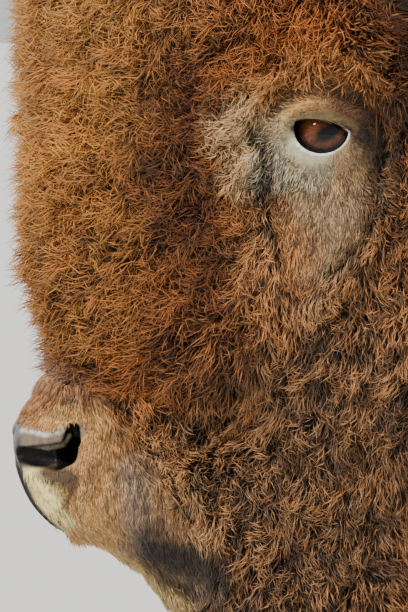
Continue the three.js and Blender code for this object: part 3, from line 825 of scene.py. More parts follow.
# corners of all faces in a row, and how many each has
def meshObject(name, verts, corners, counts, smoothShade=True):
    mesh = bpy.data.meshes.new(name)
    mesh.vertices.add(len(verts))
    mesh.vertices.foreach_set("co", np.asarray(verts, np.float32).ravel())
    mesh.loops.add(len(corners))
    mesh.loops.foreach_set("vertex_index", np.asarray(corners, np.int32))
    mesh.polygons.add(len(counts))
    mesh.polygons.foreach_set("loop_start", np.concatenate(([0], np.cumsum(counts)[:-1])).astype(np.int32))
    mesh.polygons.foreach_set("use_smooth", np.full(len(counts), smoothShade))
    mesh.update(calc_edges=True)
    return newObject(name, mesh)


def paintPoints(mesh, name, colours):  # a colour for each point, linear
    layer = mesh.color_attributes.new(name, "FLOAT_COLOR", "POINT")
    filled = np.ones((len(colours), 4), np.float32)
    filled[:, :3] = colours
    layer.data.foreach_set("color", filled.ravel())


# Markings, the same for skin and coat.
def shade(red, green, blue):  # a screen colour, made linear
    value = np.array((red, green, blue)) / 255
    return np.where(value < 0.04045, value / 12.92, ((value + 0.055) / 1.055) ** 2.4)


coatTones = {name: shade(*tone) for name, tone in {
    "flank": (116, 80, 48), "rump": (100, 68, 41), "belly": (72, 47, 30), "cape": (156, 108, 58),
    "mane": (98, 60, 32), "head": (164, 112, 64), "crown": (122, 74, 36), "mop": (168, 98, 38),
    "patch": (196, 158, 112), "beard": (64, 40, 24), "chaps": (60, 39, 25), "shin": (72, 50, 34),
    "ear": (104, 66, 38), "tail": (100, 68, 42), "tuft": (54, 36, 24), "eye": (196, 162, 120),
    "muzzle": (206, 156, 100),
}.items()}
# Marks on the side of the head, in order: a chain of (forward, down, radius), how soft its edge is, how
# much of the tone shows, and the tone as screen colours.
headMarks = [
    # the mop's front, its own orange made brighter as painted light on the side the key light faces
    ([(0.190, -0.060, 0.060), (0.180, 0.060, 0.050), (0.170, 0.120, 0.030)], 0.050, 0.80, (252, 176, 80)),
    ([(0.130, 0.150, 0.050), (0.110, 0.060, 0.030)], 0.050, 0.65, (132, 78, 32)),
    ([(0.180, -0.070, 0.030), (0.110, -0.190, 0.060)], 0.070, 0.6, (178, 124, 66)),
    ([(0.092, -0.060, 0.010), (0.092, 0.020, 0.014), (0.056, 0.100, 0.018)], 0.024, 0.75, (92, 50, 20)),
    ([(0.051, -0.028, 0.008), (0.048, -0.004, 0.010), (0.044, 0.020, 0.007)], 0.010, 1.0, (255, 214, 160)),
    ([(-0.060, -0.110, 0.030), (-0.110, -0.050, 0.030)], 0.050, 0.7, (80, 44, 18)),
    ([(-0.040, -0.050, 0.020), (-0.085, 0.000, 0.040), (-0.075, 0.060, 0.030)], 0.040, 0.7, (122, 74, 36)),
    ([(-0.010, 0.230, 0.060), (-0.060, 0.300, 0.080)], 0.080, 0.6, (116, 86, 58)),
    # painted shadow along the lower rear edge of the pale patch, under the mop's edge
    ([(0.037, 0.012, 0.002), (0.034, 0.044, 0.003)], 0.007, 0.8, (58, 36, 22)),
    ([(0.030, 0.052, 0.004), (0.020, 0.090, 0.004)], 0.012, 0.5, (164, 98, 46)),
    ([(0.036, -0.044, 0.010), (-0.030, -0.046, 0.014)], 0.018, 0.9, (214, 146, 80)),
    # painted shadow above the brow fold, under the hair that hangs over it
    ([(0.042, -0.018, 0.002), (0.028, -0.031, 0.003), (0.004, -0.034, 0.003), (-0.020, -0.027, 0.002)],
     0.007, 0.9, (80, 50, 26)),
    ([(0.028, -0.014, 0.006), (0.010, -0.019, 0.007), (-0.008, -0.016, 0.006)], 0.006, 0.85, (168, 132, 84)),
    ([(-0.008, -0.024, 0.005), (-0.032, -0.014, 0.009)], 0.012, 0.95, (112, 78, 50)),
    ([(0.034, 0.000, 0.008), (0.030, 0.020, 0.010), (0.006, 0.026, 0.004)], 0.012, 0.7, (178, 172, 146)),
    ([(-0.028, -0.024, 0.003), (-0.056, -0.030, 0.012)], 0.014, 0.8, (84, 54, 32)),
    ([(-0.024, 0.000, 0.003), (-0.050, 0.008, 0.006)], 0.010, 0.9, (50, 38, 32)),
    ([(-0.036, 0.016, 0.004), (-0.050, 0.040, 0.004)], 0.014, 0.6, (112, 84, 58)),
    ([(0.024, 0.084, 0.010), (0.024, 0.116, 0.010)], 0.020, 0.8, (212, 148, 92)),
    ([(0.196, 0.160, 0.014), (0.166, 0.174, 0.010)], 0.018, 0.9, (206, 164, 132)),
    ([(0.200, 0.200, 0.012), (0.184, 0.202, 0.008)], 0.018, 0.8, (168, 118, 80)),
    ([(0.187, 0.218, 0.003), (0.172, 0.210, 0.005)], 0.008, 0.9, (246, 196, 128)),
    ([(0.150, 0.180, 0.008), (0.138, 0.196, 0.010)], 0.018, 0.7, (112, 70, 38)),
    ([(0.154, 0.214, 0.004), (0.152, 0.262, 0.006), (0.158, 0.290, 0.006)], 0.012, 0.85, (222, 170, 104)),
    ([(0.134, 0.222, 0.006), (0.132, 0.240, 0.006)], 0.012, 0.8, (176, 118, 66)),
    ([(0.130, 0.250, 0.006), (0.120, 0.306, 0.010)], 0.014, 0.85, (156, 132, 108)),
    ([(0.112, 0.300, 0.006), (0.100, 0.316, 0.008)], 0.014, 0.9, (58, 46, 38)),
    ([(0.100, 0.240, 0.010), (0.086, 0.300, 0.014)], 0.022, 0.7, (172, 128, 82)),
    ([(0.170, 0.270, 0.008), (0.166, 0.294, 0.008), (0.148, 0.304, 0.008)], 0.010, 0.85, (240, 190, 122)),
    ([(0.200, 0.262, 0.005), (0.192, 0.276, 0.009), (0.180, 0.296, 0.007)], 0.006, 1.0, (255, 244, 176)),
    # painted shadow below the nostril
    ([(0.188, 0.259, 0.003), (0.177, 0.262, 0.004)], 0.007, 0.95, (84, 66, 52)),
    ([(0.171, 0.262, 0.001), (0.177, 0.286, 0.001), (0.182, 0.302, 0.001)], 0.003, 0.8, (112, 72, 36)),
    # painted shadow under the upper lip's overhang, along the mouth
    ([(0.104, 0.316, 0.006), (0.080, 0.328, 0.014), (0.060, 0.330, 0.010)], 0.014, 0.95, (38, 27, 21)),
    ([(0.110, 0.336, 0.006), (0.070, 0.352, 0.010), (0.030, 0.372, 0.012)], 0.012, 0.85, (104, 82, 58)),
    ([(0.138, 0.322, 0.004), (0.108, 0.344, 0.005), (0.080, 0.362, 0.005)], 0.007, 1.0, (255, 214, 146)),
]
# Tones of the bare skin. The pad's highlight and the lid's white rim are painted highlights; the tones below
# the nostril, in it, along the mouth, on the lid margins and in the brow's crease are painted shade, and the
# nose's front is partly painted shade
bareTones = {name: shade(*tone) for name, tone in {
    "pad": (122, 105, 86), "padHighlight": (222, 220, 222), "underNostrilShadow": (88, 70, 56), "front": (40, 34, 31),
    "nostril": (6, 5, 5), "cream": (255, 222, 150), "mouthShade": (40, 30, 26), "lid": (34, 24, 20),
    "wetGleam": (236, 234, 234), "under": (188, 184, 154), "fold": (190, 138, 74), "creaseShade": (58, 38, 22),
    "upperLid": (118, 102, 74),
}.items()}
noseMarks = {  # side-on strokes of (forward, down, radius)
    "pad": [[(0.209, 0.2345, 0.0070), (0.2035, 0.2315, 0.0080), (0.192, 0.2345, 0.0078),
             (0.181, 0.2325, 0.0078), (0.169, 0.2245, 0.0060)],
            [(0.206, 0.2450, 0.012), (0.180, 0.2420, 0.011)]],
    # the line of the painted highlight along the top of the pad's rim
    "padHighlightLine": [(0.2080, 0.2305, 0.0004), (0.2035, 0.2262, 0.0010), (0.192, 0.2290, 0.0012),
             (0.181, 0.2264, 0.0008), (0.173, 0.222, 0.0)],
    "cream": [(0.200, 0.260, 0.005), (0.192, 0.276, 0.010), (0.178, 0.298, 0.008)],
    # where the painted shadow below the nostril lies
    "underNostrilShadow": [(0.189, 0.258, 0.004), (0.176, 0.261, 0.005)],
    # the dark front of the nose is partly its own dark skin and partly painted shade where it turns away
    "front": (0.017, 0.029),  # how far round the dark front reaches, on the near side and on the other
}
# the dark corners of the lids, partly their own dark skin and partly painted shade
lidCorners = ((-0.0216, 0.0020, 0.0042), (0.0206, 0.0016, 0.0030))  # back, up and reach


def mixTone(base, tone, much):
    return base * (1 - much[:, None]) + tone * much[:, None]


def colourAt(p, w=None):
    w = weights(p) if w is None else w
    forward, down = headPlace(p)[1:]
    y, z = p[:, 1] - shiftY, p[:, 2]
    tone = np.tile(coatTones["flank"], (len(p), 1))
    tone = mixTone(tone, coatTones["rump"], smooth(0.9, 1.5, y))
    tone = mixTone(tone, coatTones["belly"], smooth(0.92, 0.74, z) * smooth(-0.1, 0.3, y))
    tone = mixTone(tone, coatTones["cape"], w["cape"])
    low = smooth(1.28, 0.98, z + 0.25 * smooth(0.1, -0.5, y) * -1 + 0.05 * waves(p, 0.4, 5))
    tone = mixTone(tone, coatTones["mane"], w["cape"] * np.maximum(low, smooth(-0.20, -0.44, y) * 0.85))
    for name in ("head", "crown", "mop", "patch", "beard", "ear", "chaps", "shin", "muzzle", "eye", "tail",
                 "tuft"):
        tone = mixTone(tone, coatTones[name], w[name])
    for line, soft, much, markTone in headMarks:
        off = stroke(forward, down, line)
        tone = mixTone(tone, shade(*markTone), w["head"] * much * smooth(soft, 0, off))
    streaked = 0.44 * w["muzzle"] * (1 - w["nose"]) + 0.26 * w["eye"] * (1 - w["lid"])
    streaks = waves(p * (1, 1, 0.22), 0.0055, 41) * streaked
    return tone * (1 + 0.14 * waves(p, 0.10, 11) + 0.10 * waves(p, 0.025, 12) + streaks)[:, None]


def bareness(p):  # how bare the skin is, how wet, and its colour there
    q = np.stack(headPlace(p), 1)
    close = (q[:, 1] > -0.08) & (q[:, 1] < 0.25) & (q[:, 2] < 0.40)
    bare, wetness, tone = np.zeros(len(p)), np.zeros(len(p)), np.tile(bareTones["pad"], (len(p), 1))
    part = q[close]
    across, forward, down = part.T
    edge, away, u, v = opening(part - np.array((eye[0], 0, 0)))
    near = smooth(0.045, 0.030, away)
    above = near * smooth(-0.001, 0.003, v)
    # painted shade: a thin dark line along the upper lid's edge under the lashes and in the gap round the
    # eyeball; the corners are partly the lids' own dark skin and partly painted shade
    lid = np.maximum(smooth(0.0008, 0.0002, edge) * above, smooth(-0.0001, -0.0007, edge) * near)
    for cornerU, cornerV, reach in lidCorners:
        lid = np.maximum(lid, smooth(reach, reach * 0.4, np.hypot(u - cornerU, v - cornerV)) * near)
    # painted highlight: a white band along the lower lid's wet edge, widest at the front; the same mask also
    # gives that edge its gloss
    breadth = 0.0021 - 0.0010 * smooth(-0.005, 0.016, u)
    wetGleam = smooth(breadth + 0.0005, breadth - 0.0003, edge) * smooth(-0.0005, 0.0001, edge) * near
    wetGleam = wetGleam * smooth(0.003, -0.002, v) * smooth(-0.0215, -0.0185, u)
    below = smooth(0.0120, 0.0050, edge + 0.15 * u) * near
    below = below * smooth(0.010, -0.002, v) * smooth(0.020, 0.000, u)
    upper = smooth(0.0090, 0.0055, edge) * above
    # painted shade in the crease between the brow fold and the upper lid
    creaseShade = smooth(0.0026, 0.0008, chainDistance(folds["browCrease"], part)) * above
    fold = smooth(0.0030, 0.0010, chainDistance(folds["brow"], part)) * smooth(0.010, -0.008, u)
    wrinkles = waves(part * (1, 0.2, 1), 0.0020, 35) * np.maximum(upper, fold)
    pad = np.maximum(*[smooth(0.003, -0.002, stroke(forward, down, line)) for line in noseMarks["pad"]])
    pad *= smooth(0.078, 0.070, across)
    # the nose's front, partly its own dark skin and partly painted shade where the nose turns away from the
    # light, reaching further round on the far side
    breadth = np.where(p[close][:, 0] < 0, noseMarks["front"][1], noseMarks["front"][0])
    front = smooth(breadth, breadth - 0.008, across) * smooth(0.212, 0.226, down) * smooth(0.318, 0.300, down)
    front *= smooth(0.12, 0.14, forward)
    # painted highlight: a pale line along the top of the nose pad's rim, fading out towards the rear
    padHighlight = 0.85 * smooth(0.0022, -0.0010, stroke(forward, down, noseMarks["padHighlightLine"]))
    padHighlight = padHighlight * smooth(0.170, 0.196, forward)
    cream = smooth(0.006, -0.004, stroke(forward, down, noseMarks["cream"]))
    cream = cream * (1 + 0.35 * waves(part, 0.004, 33)).clip(0, 1)
    # painted shadow below the nostril
    underNostrilShadow = smooth(0.007, -0.002, stroke(forward, down, noseMarks["underNostrilShadow"]))
    # painted shade: the inside of the nostril is painted nearly black
    holes = np.minimum(chainDistance(nose["nostril"], part), chainDistance(nose["inside"], part))
    nostrilShade = smooth(0.0030, 0.0004, holes) * smooth(0.0, 0.002, chainDistance(nose["curl"], part) + 0.001)
    # painted shade along the slit of the mouth
    mouthShade = smooth(0.0034, 0.0010, chainDistance(nose["mouth"], part))
    shown = mixTone(tone[close], bareTones["padHighlight"], padHighlight)
    shown = mixTone(shown, bareTones["cream"], cream * (1 - pad))
    for name, much in (("underNostrilShadow", underNostrilShadow * (1 - pad)), ("front", front), ("mouthShade", mouthShade), ("nostril", nostrilShade),
                       ("fold", fold), ("under", below), ("upperLid", upper), ("creaseShade", creaseShade),
                       ("lid", lid), ("wetGleam", wetGleam)):
        shown = mixTone(shown, bareTones[name], much)
    grain = 1 + 0.16 * waves(p[close], 0.006, 31) + 0.10 * waves(p[close], 0.0022, 32) + 0.30 * wrinkles
    tone[close] = shown * grain[:, None]
    bare[close] = np.clip(np.maximum.reduce((pad, front, cream * 0.75, underNostrilShadow * 0.7, nostrilShade, mouthShade, lid, wetGleam,
                                             below * 0.8, upper * 0.8, creaseShade, fold * 0.55)), 0, 1)
    wetness[close] = np.clip(np.maximum(pad * (1 - nostrilShade) * (1 - cream) * smooth(0.168, 0.180, forward),
                                        wetGleam), 0, 1)
    return bare, wetness, tone


skinSpec = {
    "cell": 0.0125,  # on the body
    "fineCell": 0.004,  # on the head
    "neck": eye[1] + 0.135,  # where the two meet, under the mane
    "headDown": 0.66,  # how far below the eye the head's part reaches
    "slim": (0.62, 1.60),  # legs below this height and tail behind this place get finer cells
    # finer cells near the eye, near the lids' edge and near nostril and mouth, round by round
    "finer": ((0.040, 1, 0.020), (0.030, 1, 0.006), (0.030, 0.0032, None)),
}


def makeSkin():
    low, high = np.array(cadBox[0]) - 0.02, np.array(cadBox[1]) + 0.02
    verts, quads, cells = netOf(skinField, low, high, skinSpec["cell"])
    row = math.ceil((skinSpec["neck"] - low[1]) / skinSpec["cell"])
    quads = quads[cells[quads][:, :, 1].min(1) > row]
    verts = settle(skinField, verts)
    middles = verts[quads].mean(1)
    faces = (quads, [])
    legHeight, tailPlace = skinSpec["slim"]
    verts, faces = split(verts, faces, (middles[:, 2] < legHeight) | (middles[:, 1] > shiftY + tailPlace))
    verts = settle(skinField, verts, rounds=1)
    say(f"body skin, {len(faces[0])} quads")
    headLow = np.array((low[0], low[1], eye[2] - skinSpec["headDown"]))
    headHigh = np.array((high[0], skinSpec["neck"] + 0.02, high[2]))
    headVerts, headQuads, headCells = netOf(skinField, headLow, headHigh, skinSpec["fineCell"])
    row = math.floor((skinSpec["neck"] - headLow[1]) / skinSpec["fineCell"])
    headQuads = headQuads[headCells[headQuads][:, :, 1].max(1) < row]
    headVerts = settle(skinField, headVerts, rounds=1, most=0.0015)
    headFaces = (headQuads, [])
    for reach, edgeReach, noseReach in skinSpec["finer"]:
        q = np.stack(headPlace(headVerts[headFaces[0]].mean(1)), 1)
        fromEye = q - np.array((eye[0], 0, 0))
        near = np.linalg.norm(fromEye, axis=1) < reach
        near &= np.abs(opening(fromEye)[0]) < edgeReach
        if noseReach:
            for name in ("nostril", "mouth", "wing"):
                near |= chainDistance(nose[name], q) < noseReach * (0.5 if name == "mouth" else 1)
        headVerts, headFaces = split(headVerts, headFaces, near)
        headVerts = settle(skinField, headVerts, rounds=2, most=0.0012)
    say(f"head skin, {len(headFaces[0])} quads")
    bodyLoop, headLoop = rimOf(quads, verts), rimOf(headQuads, headVerts)
    allVerts = np.concatenate((verts, headVerts))
    headLoop = [n + len(verts) for n in headLoop]
    turnA = np.unwrap(np.arctan2(allVerts[bodyLoop][:, 0], allVerts[bodyLoop][:, 2] - 1.2))
    turnB = np.unwrap(np.arctan2(allVerts[headLoop][:, 0], allVerts[headLoop][:, 2] - 1.2))
    if (turnA[-1] - turnA[0]) * (turnB[-1] - turnB[0]) < 0:
        headLoop = headLoop[::-1]
    band = zipped(bodyLoop, headLoop, allVerts)
    corners = [faces[0].ravel(), headFaces[0].ravel() + len(verts)]
    counts = [4] * (len(faces[0]) + len(headFaces[0]))
    for ring in faces[1] + [[n + len(verts) for n in ring] for ring in headFaces[1]] + band:
        corners.append(ring)
        counts.append(len(ring))
    used, corners = np.unique(np.concatenate(corners), return_inverse=True)
    piece = meshObject("skin", allVerts[used], corners, counts)
    say(f"skin, {len(counts)} faces, rims of {len(bodyLoop)} and {len(headLoop)}")
    return piece, allVerts[used]


hide = {
    "roughness": 0.74, "bareRoughness": 0.58, "wetRoughness": 0.24,
    # painted shade: the skin is painted darker below thick hair, as the shade between the tufts
    "under": 0.55,  # how dark the skin is below thick hair
    "gloss": 0.18, "wetCoat": 0.6,
    "hairs": 420, "pebbles": 520,  # how fine the short hairs and the bare skin's grain are
    "bump": 0.0009, "bumpStrength": 0.6,
}


def paintSkin(piece, verts):
    w = weights(verts)
    tone = colourAt(verts, w)
    thick = smooth(0.004, 0.016, blended(w, "depth"))
    # painted shade below thick hair, less of it in the pale patch
    tone = tone * (1 - (1 - hide["under"]) * thick * (1 - 0.6 * w["patch"]))[:, None]
    bare, wetness, bareTone = bareness(verts)
    tone = tone * (1 - bare[:, None]) + bareTone * bare[:, None]
    paintPoints(piece.data, "coat", tone)
    for name, values in (("bare", bare), ("wetGleam", wetness)):
        layer = piece.data.attributes.new(name, "FLOAT", "POINT")
        layer.data.foreach_set("value", values.astype(np.float32))
    material, shader, tree = newMaterial("hide")
    marks = {name: attributeNode(tree, name) for name in ("coat", "bare", "wetGleam")}
    hairs = noiseNode(tree, hide["hairs"], detail=4, stretch=(1, 1, 0.3))
    pebbles = tree.nodes.new("ShaderNodeTexVoronoi")
    pebbles.inputs["Scale"].default_value = hide["pebbles"]
    pebbles.inputs["Randomness"].default_value = 0.8
    coordinates = tree.nodes.new("ShaderNodeTexCoord")
    link(tree, coordinates.outputs["Object"], pebbles.inputs["Vector"])
    gaps = rampNode(tree, hairs.outputs["Fac"], [(0.3, (0.35, 0.33, 0.32)), (0.7, (1, 1, 1))])
    much = mathNode(tree, "MULTIPLY_ADD", marks["bare"].outputs["Fac"], -0.40, 0.55)
    tone = darkenedBy(tree, marks["coat"].outputs["Color"], gaps, much)
    link(tree, tone, shader.inputs["Base Color"])
    dull = mathNode(tree, "MULTIPLY_ADD", marks["bare"].outputs["Fac"],
                    hide["bareRoughness"] - hide["roughness"], hide["roughness"])
    link(tree, dull, shader.inputs["Roughness"])
    shader.inputs["Specular IOR Level"].default_value = hide["gloss"]
    wetCoat = mathNode(tree, "MULTIPLY", marks["wetGleam"].outputs["Fac"], hide["wetCoat"])
    link(tree, wetCoat, shader.inputs["Coat Weight"])
    shader.inputs["Coat Roughness"].default_value = hide["wetRoughness"]
    height = tree.nodes.new("ShaderNodeMix")
    link(tree, marks["bare"].outputs["Fac"], height.inputs["Factor"])
    link(tree, hairs.outputs["Fac"], height.inputs["A"])
    link(tree, pebbles.outputs["Distance"], height.inputs["B"])
    bumpFrom(tree, shader, height.outputs["Result"], hide["bump"], hide["bumpStrength"])
    piece.data.materials.append(material)


# Tufts: the way each kind of coat lies at rest.
rest = {
    "flank": (0.0, 1.0, -0.45), "rump": (0.0, 0.55, -0.85), "cape": (0.05, 0.60, -0.80),
    "head": (0.0, -0.10, -1.0), "crown": (0.30, -0.55, -0.45), "mop": (-0.12, -0.80, -0.48),
    "beard": (0.0, 0.05, -1.0), "ear": (1.0, 0.25, -0.3), "ruff": (1.0, -0.20, -0.30),
    "patch": (0.0, -0.60, -0.50), "chaps": (0.0, 0.15, -1.0), "shin": (0.0, 0.05, -1.0),
    "muzzle": (0.05, 0.10, -1.0), "tail": (0.0, 0.05, -1.0), "tuft": (0.0, 0.02, -1.0),
}


def lieAt(p, w):  # which way the coat lies, before it is laid on the skin
    y = p[:, 1] - shiftY
    way = np.tile(rest["flank"], (len(p), 1))
    way = mixTone(way, np.array(rest["rump"]), smooth(1.05, 1.50, y))
    for name in ("cape", "head", "crown", "mop", "ruff", "patch", "beard", "ear", "chaps", "shin", "muzzle",
                 "tail", "tuft"):
        way = mixTone(way, np.array(rest[name]), w[name])
    fromEye = np.stack((np.zeros(len(p)), p[:, 1] - eye[1], p[:, 2] - eye[2]), 1)
    fromEye /= np.linalg.norm(fromEye, axis=1)[:, None] + 1e-6
    fromEye[:, 2] -= 0.55
    way = way * (1 - w["eye"][:, None]) + fromEye * w["eye"][:, None]
    way[:, 0] *= np.sign(p[:, 0] + 1e-9)
    return way


def unitOf(v):
    return v / np.maximum(np.linalg.norm(v, axis=1), 1e-9)[:, None]


def unwrapHead(p):  # round the head's long axis, and along it
    start, end = face(0, -0.052, -0.175), face(0, 0.096, 0.351)
    axis = (end - start) / np.linalg.norm(end - start)
    ahead = np.cross(axis, (1, 0, 0))
    off = p - start
    return np.arctan2(off[:, 0], off @ ahead), off @ axis


def unwrapBody(p):  # round the body, and along it
    return np.arctan2(p[:, 0], p[:, 2] - 1.12), p[:, 1]


def unwrapLegs(p):  # the four legs side by side, each round its own axis
    u = np.zeros(len(p))
    for number, (footX, footY) in enumerate(feet.values()):
        off = p[:, :2] - np.array((footX, footY))
        near = (np.abs(off[:, 1]) < 0.45) & (p[:, 0] * footX > 0)
        turn = (np.arctan2(off[:, 0], off[:, 1]) / (2 * math.pi) + 0.5) * 0.9
        u = np.where(near, number + turn, u)
    return u, p[:, 2]


def scattered(piece, verts, spec):  # roots on the skin, with the way out from it
    mesh = piece.data
    mesh.calc_loop_triangles()
    tris = np.empty(len(mesh.loop_triangles) * 3, np.int32)
    mesh.loop_triangles.foreach_get("vertices", tris)
    tris = tris.reshape(-1, 3)
    corners = verts[tris]
    middle = corners.mean(1)
    chosen = spec["where"](middle)
    tris, corners, middle = tris[chosen], corners[chosen], middle[chosen]
    across = np.cross(corners[:, 1] - corners[:, 0], corners[:, 2] - corners[:, 0])
    area = np.linalg.norm(across, axis=1) / 2
    w = weights(middle)
    bare = bareness(middle)[0]
    close = area * blended(w, "close") * (1 - smooth(0.3, 0.8, bare))
    sums = np.cumsum(close)
    dice = np.random.default_rng(spec["seed"])
    spots = (np.arange(spec["count"]) + dice.random(spec["count"])) / spec["count"] * sums[-1]
    found = np.clip(np.searchsorted(sums, spots), 0, len(sums) - 1)
    r1, r2 = np.sqrt(dice.random(spec["count"])), dice.random(spec["count"])
    a, b, c = (corners[found, n] for n in range(3))
    roots = a * (1 - r1)[:, None] + b * (r1 * (1 - r2))[:, None] + c * (r1 * r2)[:, None]
    return roots, unitOf(across[found]), dice


def clumpsOf(roots, size, seed):  # which clump each root belongs to
    warped = roots / size[:, None]
    for axis in range(3):
        warped[:, axis] += 0.35 * waves(roots, float(np.median(size)) * 2.5, seed + axis)
    cell = np.floor(warped).astype(np.int64)
    return np.unique(cell @ np.array((73856093, 19349663, 83492791)), return_inverse=True)[1]


def nearHorns(p):
    return np.nonzero((np.abs(p[:, 0]) < 0.32) & (p[:, 2] > eye[2] + 0.02) & (p[:, 1] < eye[1] + 0.16))[0]


def overHorns(p):  # the coat's outer surface, with the horns' roots for hair to lie over
    d = outer(p)
    near = nearHorns(p)
    if len(near):
        d[near] = joined(hornCore, np.asarray(p[near], np.float32), d[near])
    return d


def solidUnder(p):  # the skin or a horn, whichever is nearer
    d = skinField(p)
    near = nearHorns(p)
    if len(near):
        horns = joined(hornCore, np.asarray(p[near], np.float32), np.full(len(near), 1.0, np.float32)) + 0.004
        d[near] = np.minimum(d[near], horns)
    return d


tuftShape = {
    "along": (0, 0.3, 0.7, 1), "wide": (0.8, 1.0, 0.7, 0.3),  # how wide a tuft is along its length
    "flat": 0.75,
    "palest": 0.85,  # no colour is paler than this, in the same hue
    "patch": 0.003,  # of the map, for one tuft
}


# closed three-sided spikes along paths, as one mesh
def spikes(name, path, out, width, tone, shades, unwrapped):
    count, rings = len(path), path.shape[1] - 1
    tangent = np.diff(path, axis=1)
    tangent /= np.maximum(np.linalg.norm(tangent, axis=2), 1e-9)[..., None]
    side = np.cross(tangent, out[:, None])
    side /= np.maximum(np.linalg.norm(side, axis=2), 1e-9)[..., None]
    up = np.cross(side, tangent)
    shape = np.interp(np.arange(rings) / rings, tuftShape["along"], tuftShape["wide"])
    half = width[:, None] / 2 * shape
    ringPoints = []
    for a in np.radians((90, 210, 330)):
        off = side * math.cos(a) + up * math.sin(a) * tuftShape["flat"]
        ringPoints.append(path[:, :rings] + off * half[..., None])
    points = np.concatenate((np.stack(ringPoints, 2).reshape(count, -1, 3), path[:, rings:]), 1)
    perTuft = 3 * rings + 1
    faces = [(0, 2, 1)]
    for ring in range(rings - 1):
        for a in range(3):
            b = (a + 1) % 3
            p, q = 3 * ring + a, 3 * ring + b
            faces += [(p, q, q + 3), (p, q + 3, p + 3)]
    last = 3 * (rings - 1)
    faces += [(last, last + 1, last + 3), (last + 1, last + 2, last + 3), (last + 2, last, last + 3)]
    faces = (np.array(faces)[None] + (np.arange(count) * perTuft)[:, None, None]).reshape(-1, 3)
    made = meshObject(name, points.reshape(-1, 3), faces.ravel(), np.full(len(faces), 3))
    s = np.append(np.repeat(np.arange(rings) / rings, 3), 1.0)
    # each tuft's colour runs from its root's factor to its tip's; on the coat these are painted shade at the
    # root and a paler tip
    fade = shades[0][:, None] + (shades[1] - shades[0])[:, None] * s[None] ** 1.2
    colours = tone[:, None] * fade[..., None]
    palest = tuftShape["palest"]
    colours = colours * palest / np.maximum(colours.max(-1, keepdims=True), palest)
    paintPoints(made.data, "coat", colours.reshape(-1, 3))
    u, v = (0.01 + 0.98 * (k - k.min()) / (np.ptp(k) + 1e-9) for k in unwrapped)
    patch = tuftShape["patch"]
    pointU = u[:, None] + patch * (np.append(np.tile(np.arange(3) / 2, rings), 0.5) - 0.5)[None]
    pointV = v[:, None] + patch * (s - 0.5)[None]
    uv = np.stack((pointU, pointV), -1).reshape(-1, 2)
    layer = made.data.uv_layers.new(name="OFBake")
    layer.uv.foreach_set("vector", uv[faces.ravel()].astype(np.float32).ravel())
    say(f"{name}, {len(faces)} triangles")
    return made


